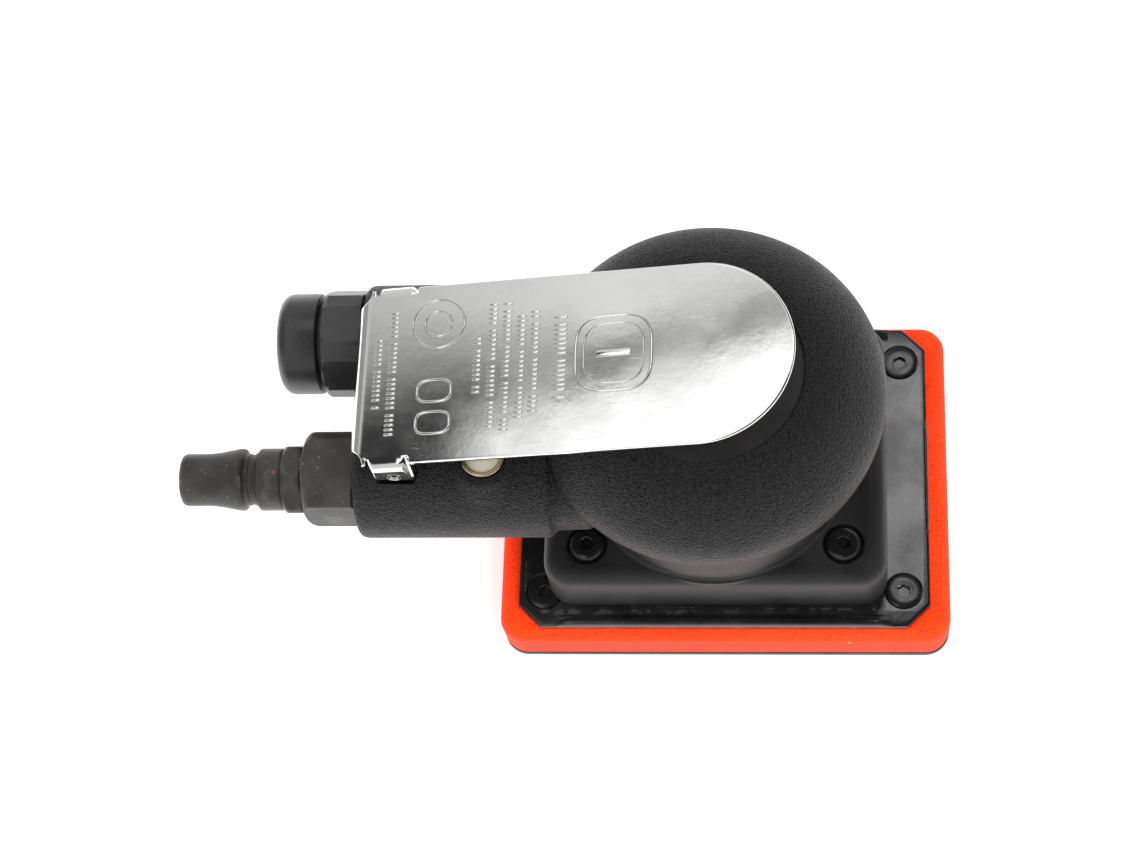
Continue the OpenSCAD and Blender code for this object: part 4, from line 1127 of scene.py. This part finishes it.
def stamp_ring(bm, u, v, radius_u, radius_v, line, rise, power=2.0):
    """A raised line round a disc or a soft oblong."""
    steps = 96
    rows = []
    for grow, w in ((-line / 2, -0.12), (-line * 0.42, 0.45), (-line * 0.18, 0.95), (line * 0.18, 0.95),
                    (line * 0.42, 0.45), (line / 2, -0.12)):
        row = []
        for k in range(steps):
            a = TURN * k / steps
            c, s = math.cos(a), math.sin(a)
            x = math.copysign(abs(c) ** (2 / power), c) * (radius_u + grow)
            y = math.copysign(abs(s) ** (2 / power), s) * (radius_v + grow)
            row.append(bm.verts.new(lever_point(u + x, v + y, LEVER_TOP + (w * rise if w > 0 else w))))
        rows.append(row)
    stitch(bm, rows + [rows[0]])


# Each row of blank dashes: place along the lever, its two ends across it, and the dashes' width.
STAMP_ROWS = [(-3.1, -7.4, 8.5, 1.9), (0.1, -13.5, 14.9, 2.1), (18.3, -5.5, 7.1, 1.9),
              (21.4, -13.3, 14.7, 2.0), (24.4, -14.1, 15.2, 2.0), (27.5, -11.6, 12.5, 2.0),
              (30.4, -10.5, 12.3, 2.0), (35.8, -8.0, 11.0, 3.0)]
DASH = 0.62
SHORTEST_DASH = 0.6
DASH_GAP = 0.42
WORD_GAP = 1.1


def build_stampings():
    """Blank dashes, rings and frames raised on the lever."""
    rise = sizes().stamping_height / MM
    bm = bmesh.new()
    for index, (u, low, high, across) in enumerate(STAMP_ROWS):
        v, k = low, 0
        while v < high - SHORTEST_DASH:
            length = min(DASH, high - v)
            stamp_bar(bm, u, v + length / 2, across, length, rise)
            v += length + (DASH_GAP if (k * 5 + index) % 7 else WORD_GAP)
            k += 1
    stamp_ring(bm, 9.7, 10.7, 5.6, 5.4, 0.55, rise)
    stamp_ring(bm, 9.7, 10.7, 2.9, 2.8, 0.5, rise)
    stamp_ring(bm, 9.4, -4.2, 3.6, 2.4, 0.6, rise, 3.2)
    stamp_ring(bm, 9.4, -11.2, 3.6, 2.4, 0.6, rise, 3.2)
    stamp_ring(bm, 47.0, 1.2, 7.9, 8.2, 0.7, rise * 1.15, 3.4)
    stamp_ring(bm, 47.0, 1.2, 6.2, 6.5, 0.45, rise, 3.4)
    stamp_bar(bm, 47.0, 1.2, 7.4, 1.5, rise)
    marks = place_object("lever_stampings", bm, [FINISHES["polished_chrome"]], 60)
    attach(marks, "lever")


def build_button_ring():
    """The ring that the throttle button stands in."""
    low, high = node_box("button_ring")
    bm = bmesh.new()
    profile = smooth_profile(
        [(3.8, low.z), (4.62, low.z), (4.66, high.z - 0.1), (4.4, high.z + 0.12), (3.95, high.z + 0.05),
         (3.8, high.z - 0.25), (3.8, low.z)], {2: 0.3, 3: 0.25, 4: 0.2, 5: 0.15})
    lathe(bm, profile[:-1], upright(BUTTON_X, -ARM_Y), 96, closed=True)
    ring = place_object("throttle_ring", bm, [FINISHES["button_brass"]], 50)
    fit(ring, "housing", ["button_ring"])


# ---------------------------------------------------------------- fittings

BUSHING_FLATS = 17.0
BUSHING_REACH = 10.3
PLUG_FLATS = 14.0
CAP_LENGTH = 8.6
CAP_RADIUS = 10.85
CAP_ROUND = 2.6


def build_bushing():
    """The square inlet bushing."""
    back, front, reach = node_box("inlet_bushing")[0].x, ARM_END - 0.15, BUSHING_REACH
    square = [(4, BUSHING_FLATS, 0)]
    profile = [(back + 0.1, 6.4, []), (back, 7.0, []), (back, 7.7, [])]
    profile += [(back + x, r, square) for x, r in arc(2.3, 7.9, 2.3, 2.4, 180, 90, 9)]
    profile += [(x, reach, square) for x in (back + 4, back + 7, front - 1.2, front - 0.5)]
    profile += [(front - 0.15, reach - 0.25, square), (front, reach - 0.7, square), (front, 8.0, []),
                (front + 8, 6.5, [])]
    bm = bmesh.new()
    turned_bar(bm, profile, -ARM_Y, ARM_Z, 240, 0.08)
    bushing = place_object("inlet_bushing_body", bm, [FINISHES["blackened_steel"]], 11)
    fit(bushing, "housing", ["inlet_bushing"])


def build_plug():
    """The quick plug in the inlet."""
    tip = node_box("hose_plug")[0].x
    hexagon = [(6, PLUG_FLATS, 52)]
    groove = tip + 13.7
    collar = groove + 2.9
    nut = collar + 5.4
    end = nut + 4.7
    shape = [(3.4, tip + 11), (3.4, tip + 0.5), (3.9, tip + 0.05), (4.7, tip), (5.3, tip + 0.25),
             (5.55, tip + 0.9), (5.58, tip + 3), (5.55, tip + 5.2), (5.66, tip + 7.0), (5.95, tip + 9.0),
             (6.32, tip + 10.9), (6.56, tip + 12.2), (6.6, tip + 12.9), (6.42, groove - 0.25),
             (5.95, groove), (5.6, groove + 0.15), (5.5, groove + 0.5), (5.5, groove + 1.0),
             (5.32, groove + 1.15), (5.32, groove + 1.9), (5.55, groove + 2.05), (5.7, collar - 0.25),
             (6.2, collar), (6.5, collar + 0.25), (6.6, collar + 0.6), (6.6, nut - 0.55),
             (6.45, nut - 0.3), (6.35, nut - 0.12)]
    profile = [(x, r, []) for r, x in shape]
    profile += [(nut, 6.55, hexagon), (nut + 0.25, 7.0, hexagon), (nut + 0.7, 7.45, hexagon)]
    profile += [(x, 7.75, hexagon) for x in (nut + 1.2, nut + 2.2, end - 1.3)]
    profile += [(end - 0.6, 7.5, hexagon), (end - 0.15, 7.05, hexagon), (end, 6.6, []), (end + 4, 6.0, [])]
    bm = bmesh.new()
    turned_bar(bm, profile, -ARM_Y, ARM_Z, 240, 0.15)
    plug = place_object("quick_plug", bm, [FINISHES["blackened_steel"]], 16)
    fit(plug, "housing", ["hose_plug"])


def build_muffler():
    """The muffler nut and its slotted cap."""
    back = node_box("muffler_cap")[0].x
    front = back + CAP_LENGTH
    nut_back, nut_front = front + 0.9, ARM_END - 0.15
    eight = [(6, 22.0, 2), (6, 23.05, 32)]
    profile = [(front - 2, 8.2, []), (front + 0.2, 8.2, []), (front + 0.2, 9.2, []), (nut_back, 9.3, [])]
    profile += [(nut_back, 9.9, eight), (nut_back + 0.12, 10.7, eight), (nut_back + 0.5, 11.3, eight)]
    profile += [(x, 12.6, eight) for x in (nut_back + 1.2, nut_back + 4, nut_front - 1.0)]
    profile += [(nut_front - 0.3, 11.5, eight), (nut_front, 11.0, eight), (nut_front, 8.4, []),
                (nut_front + 7, 8.4, [])]
    bm = bmesh.new()
    turned_bar(bm, profile, ARM_Y, ARM_Z, 288, 0.12)
    nut = place_object("muffler_nut", bm, [FINISHES["moulded_muffler"]], 12)
    fit(nut, "housing", ["muffler_body"])
    bm = bmesh.new()
    shell = [(0, back + 0.35), (6.6, back + 0.2), (8.1, back + 0.02)]
    shell += arc(CAP_RADIUS - CAP_ROUND, back + CAP_ROUND, CAP_ROUND, CAP_ROUND, -88, 0, 12)
    shell += [(CAP_RADIUS, front - 0.6), (10.72, front - 0.15), (10.4, front), (8.3, front),
              (8.3, back + 2.2), (0, back + 2.2)]
    lathe(bm, shell, lying(ARM_Y, ARM_Z), 144)
    cap = place_object("muffler_shell", bm, [FINISHES["moulded_muffler"]], 34)
    tool = bmesh.new()
    for k in range(8):
        spoke = bmesh.new()
        cut_box(spoke, (back - 1, 3.0, -0.7), (back + 2.9, 7.0, 0.7))
        spoke.transform(Matrix.Rotation(math.radians(45 * k), 4, "X"))
        spoke.transform(Matrix.Translation((0, ARM_Y, ARM_Z)))
        mesh = bpy.data.meshes.new("spoke")
        spoke.to_mesh(mesh)
        spoke.free()
        tool.from_mesh(mesh)
        bpy.data.meshes.remove(mesh)
    carve(cap, tool, 34)
    fit(cap, "housing", ["muffler_cap"])


def dress_parts():
    """Gives every part that still shows its own finish."""
    for entry in frame["record"]["subparts"]:
        part = frame["nodes"][entry["node"]]
        part.data.materials.clear()
        part.data.materials.append(FINISHES[SLOT_FINISH[entry["material_slot"]]])


# ---------------------------------------------------------------- stage

FLOOR_RADIUS = 3.0


def build_floor():
    """The pale floor."""
    bm = bmesh.new()
    place = upright()
    loft(bm, [[place(FLOOR_RADIUS / MM, z, TURN * k / 64) for k in range(64)] for z in (-0.02, 0)])
    floor = place_object("studio_floor", bm, [])
    f = Finish("studio_paper", Specular_IOR_Level=0.1, Emission_Strength=0.15,
               Emission_Color=(1, 1, 1, 1))
    tone = f.use("uneven_tone", Colour=(0.9, 0.9, 0.9, 1), Patch_Colour=(0.89, 0.89, 0.888, 1), Scale=3.0,
                 Roughness=0.9, Roughness_Spread=0.05)
    f.paint(tone["Colour"], tone["Roughness"])
    floor.data.materials.append(f.material)


def soft_light(name, place, target, size, power):
    """A square area light aimed at a point."""
    data = bpy.data.lights.new(name, "AREA")
    data.shape = "RECTANGLE"
    data.size = data.size_y = size
    data.energy = power
    light = bpy.data.objects.new(name, data)
    light.location = place
    light.rotation_euler = (Vector(target) - Vector(place)).to_track_quat("-Z", "Y").to_euler()
    light.visible_glossy = False
    bpy.context.scene.collection.objects.link(light)


def build_world():
    """White paper all round, with the studio's light boxes and a dark gap between them overhead."""
    world = bpy.data.worlds.new("studio")
    bpy.context.scene.world = world
    world.use_nodes = True
    world.cycles.sampling_method = "NONE"
    tree = world.node_tree
    tree.nodes.clear()
    where = add_node(tree, "TexCoord").outputs["Generated"]
    axes = add_node(tree, "SeparateXYZ", [(0, where)])
    x, y, z = axes.outputs
    overhead = ramp(tree, z, 0.55, 0.72)
    # The card on the left: bright below a slanted line, grey above it, with a dark gap between.
    line = math_node(tree, "SUBTRACT", y, plus(tree, times(tree, x, 0.318), 0.512))
    drop = times(tree, ramp(tree, x, -0.43, -0.47), 0.04)
    from_low = math_node(tree, "SUBTRACT", line, math_node(tree, "SUBTRACT", -0.005, drop))
    fade = plus(tree, 0.018, times(tree, ramp(tree, x, -0.36, -0.46), 0.034))
    above = ramp(tree, math_node(tree, "DIVIDE", line, fade), -0.1, 1.0)
    bright_box = times(tree, ramp(tree, from_low, 0.001, -0.005), ramp(tree, x, -0.45, -0.41))
    grey_card = times(tree, above, ramp(tree, x, -0.46, -0.34, 0.74, 1.02))
    gap_glow = times(tree, ramp(tree, x, -0.42, -0.33), 0.34)
    card = math_node(tree, "MAXIMUM", times(tree, bright_box, 1.6), grey_card)
    card = times(tree, math_node(tree, "MAXIMUM", card, gap_glow), ramp(tree, x, -0.28, -0.3))
    # Two narrow boxes overhead, and soft light from the sides.
    mid_box = times(tree, ramp(tree, x, -0.14, -0.17), ramp(tree, x, -0.3, -0.27))
    right_box = times(tree, ramp(tree, x, -0.03, 0.0), ramp(tree, x, 0.17, 0.1))
    right_box = times(tree, times(tree, right_box, ramp(tree, y, 0.24, 0.3)), ramp(tree, y, 0.5, 0.44))
    level = plus(tree, card, times(tree, mid_box, 1.7))
    level = times(tree, plus(tree, level, times(tree, right_box, 6.5)), overhead)
    front = math_node(tree, "MAXIMUM", ramp(tree, y, -0.1, -0.6, 0.38, 0.85),
                      ramp(tree, y, 0.55, 0.65, 0, 0.85))
    side = times(tree, math_node(tree, "SUBTRACT", 1.0, overhead), front)
    level = plus(tree, plus(tree, level, side), 0.03)
    gloss = add_node(tree, "Background", [("Strength", level)])
    plain = add_node(tree, "Background", [("Color", (1, 1, 1, 1)), ("Strength", 0.9)])
    rays = tree.nodes.new("ShaderNodeLightPath")
    mix = add_node(tree, "MixShader", [(0, rays.outputs["Is Glossy Ray"]), (1, plain.outputs[0]),
                                       (2, gloss.outputs[0])])
    out = tree.nodes.new("ShaderNodeOutputWorld")
    tree.links.new(mix.outputs[0], out.inputs["Surface"])


CAMERA_TARGET = (-32.39, 6.40, 30.0)
CAMERA_DISTANCE = 539.69
CAMERA_ANGLES = (67.33, 16.22, -15.48)
CAMERA_LENS = 76.69


def build_camera():
    """The camera looks down at the sander from in front of its inlet side."""
    target = Vector(CAMERA_TARGET) * MM
    elevation, azimuth, roll = (math.radians(a) for a in CAMERA_ANGLES)
    back = Vector((math.sin(azimuth) * math.cos(elevation), -math.cos(azimuth) * math.cos(elevation),
                   math.sin(elevation)))
    across = Vector((math.cos(azimuth), math.sin(azimuth), 0))
    upward = back.cross(across).normalized()
    right = across * math.cos(roll) + upward * math.sin(roll)
    top = upward * math.cos(roll) - across * math.sin(roll)
    data = bpy.data.cameras.new("studio_camera")
    data.sensor_fit = "HORIZONTAL"
    data.sensor_width = 36.0
    data.lens = CAMERA_LENS
    data.clip_start = 0.01
    camera = bpy.data.objects.new("studio_camera", data)
    matrix = Matrix((right, top, back)).transposed().to_4x4()
    matrix.translation = target + back * CAMERA_DISTANCE * MM
    camera.matrix_world = matrix
    bpy.context.scene.collection.objects.link(camera)
    bpy.context.scene.camera = camera


def build_stage():
    scene = bpy.context.scene
    scene.view_settings.view_transform = "Standard"
    scene.view_settings.look = "None"
    build_floor()
    build_world()
    build_camera()
    soft_light("key_box", (0.5, -0.4, 0.75), (0, 0, 0.04), 0.5, 6.5)
    soft_light("fill_box", (-0.7, -0.05, 0.7), (-0.03, 0, 0.04), 0.6, 7.5)


# ---------------------------------------------------------------- operators and panel

class SanderOperator:
    bl_options = {"REGISTER", "UNDO"}

    def execute(self, context):
        self.make()
        return {"FINISHED"}


class SANDER_OT_finishes(SanderOperator, bpy.types.Operator):
    """Build the shader groups and every finish"""
    bl_idname = "sander.finishes"
    bl_label = "Finishes"

    def make(self):
        build_groups()
        build_finishes()
        dress_parts()


class SANDER_OT_pad(SanderOperator, bpy.types.Operator):
    """Build the foam pad, its backing plate and the plate's lips"""
    bl_idname = "sander.pad"
    bl_label = "Sanding Pad"

    def make(self):
        build_foam()
        build_plate()


class SANDER_OT_screws(SanderOperator, bpy.types.Operator):
    """Build the plate's flat screw heads and the shroud's round ones"""
    bl_idname = "sander.screws"
    bl_label = "Screws"

    def make(self):
        build_screws()


class SANDER_OT_shroud(SanderOperator, bpy.types.Operator):
    """Build the base shroud with its neck and saddle"""
    bl_idname = "sander.shroud"
    bl_label = "Base Shroud"

    def make(self):
        build_shroud()


class SANDER_OT_grip(SanderOperator, bpy.types.Operator):
    """Build the rubber dome and the sleeves over both arms"""
    bl_idname = "sander.grip"
    bl_label = "Rubber Grip"

    def make(self):
        build_grip_dome()
        build_grip_arms()


class SANDER_OT_throttle(SanderOperator, bpy.types.Operator):
    """Build the plated lever with its stampings and the ring round the button"""
    bl_idname = "sander.throttle"
    bl_label = "Throttle"

    def make(self):
        build_lever()
        build_stampings()
        build_button_ring()


class SANDER_OT_fittings(SanderOperator, bpy.types.Operator):
    """Build the inlet bushing, the quick plug and the muffler"""
    bl_idname = "sander.fittings"
    bl_label = "Fittings"

    def make(self):
        build_bushing()
        build_plug()
        build_muffler()


class SANDER_OT_stage(SanderOperator, bpy.types.Operator):
    """Set up the floor, the studio light and the camera"""
    bl_idname = "sander.stage"
    bl_label = "Stage"

    def make(self):
        build_stage()


OPERATORS = (SANDER_OT_finishes, SANDER_OT_pad, SANDER_OT_screws, SANDER_OT_shroud, SANDER_OT_grip,
             SANDER_OT_throttle, SANDER_OT_fittings, SANDER_OT_stage)


class SANDER_PT_panel(bpy.types.Panel):
    bl_label = "Palm Orbital Sander"
    bl_idname = "SANDER_PT_panel"
    bl_space_type = "VIEW_3D"
    bl_region_type = "UI"
    bl_category = "Sander"

    def draw(self, context):
        layout = self.layout
        for group in (context.scene.sander_sizes, context.scene.sander_colours):
            column = layout.column(align=True)
            for key in group.__annotations__:
                column.prop(group, key)
        column = layout.column(align=True)
        for operator in OPERATORS:
            column.operator(operator.bl_idname)


CLASSES = (SanderSizes, SanderColours, *OPERATORS, SANDER_PT_panel)


def register():
    for cls in CLASSES:
        bpy.utils.register_class(cls)
    bpy.types.Scene.sander_sizes = bpy.props.PointerProperty(type=SanderSizes)
    bpy.types.Scene.sander_colours = bpy.props.PointerProperty(type=SanderColours)


def unregister():
    del bpy.types.Scene.sander_colours
    del bpy.types.Scene.sander_sizes
    for cls in reversed(CLASSES):
        bpy.utils.unregister_class(cls)


def main():
    register()
    for step in (bpy.ops.sander.finishes, bpy.ops.sander.pad, bpy.ops.sander.screws,
                 bpy.ops.sander.shroud, bpy.ops.sander.grip, bpy.ops.sander.throttle,
                 bpy.ops.sander.fittings, bpy.ops.sander.stage):
        step()


if __name__ == "__main__":
    main()
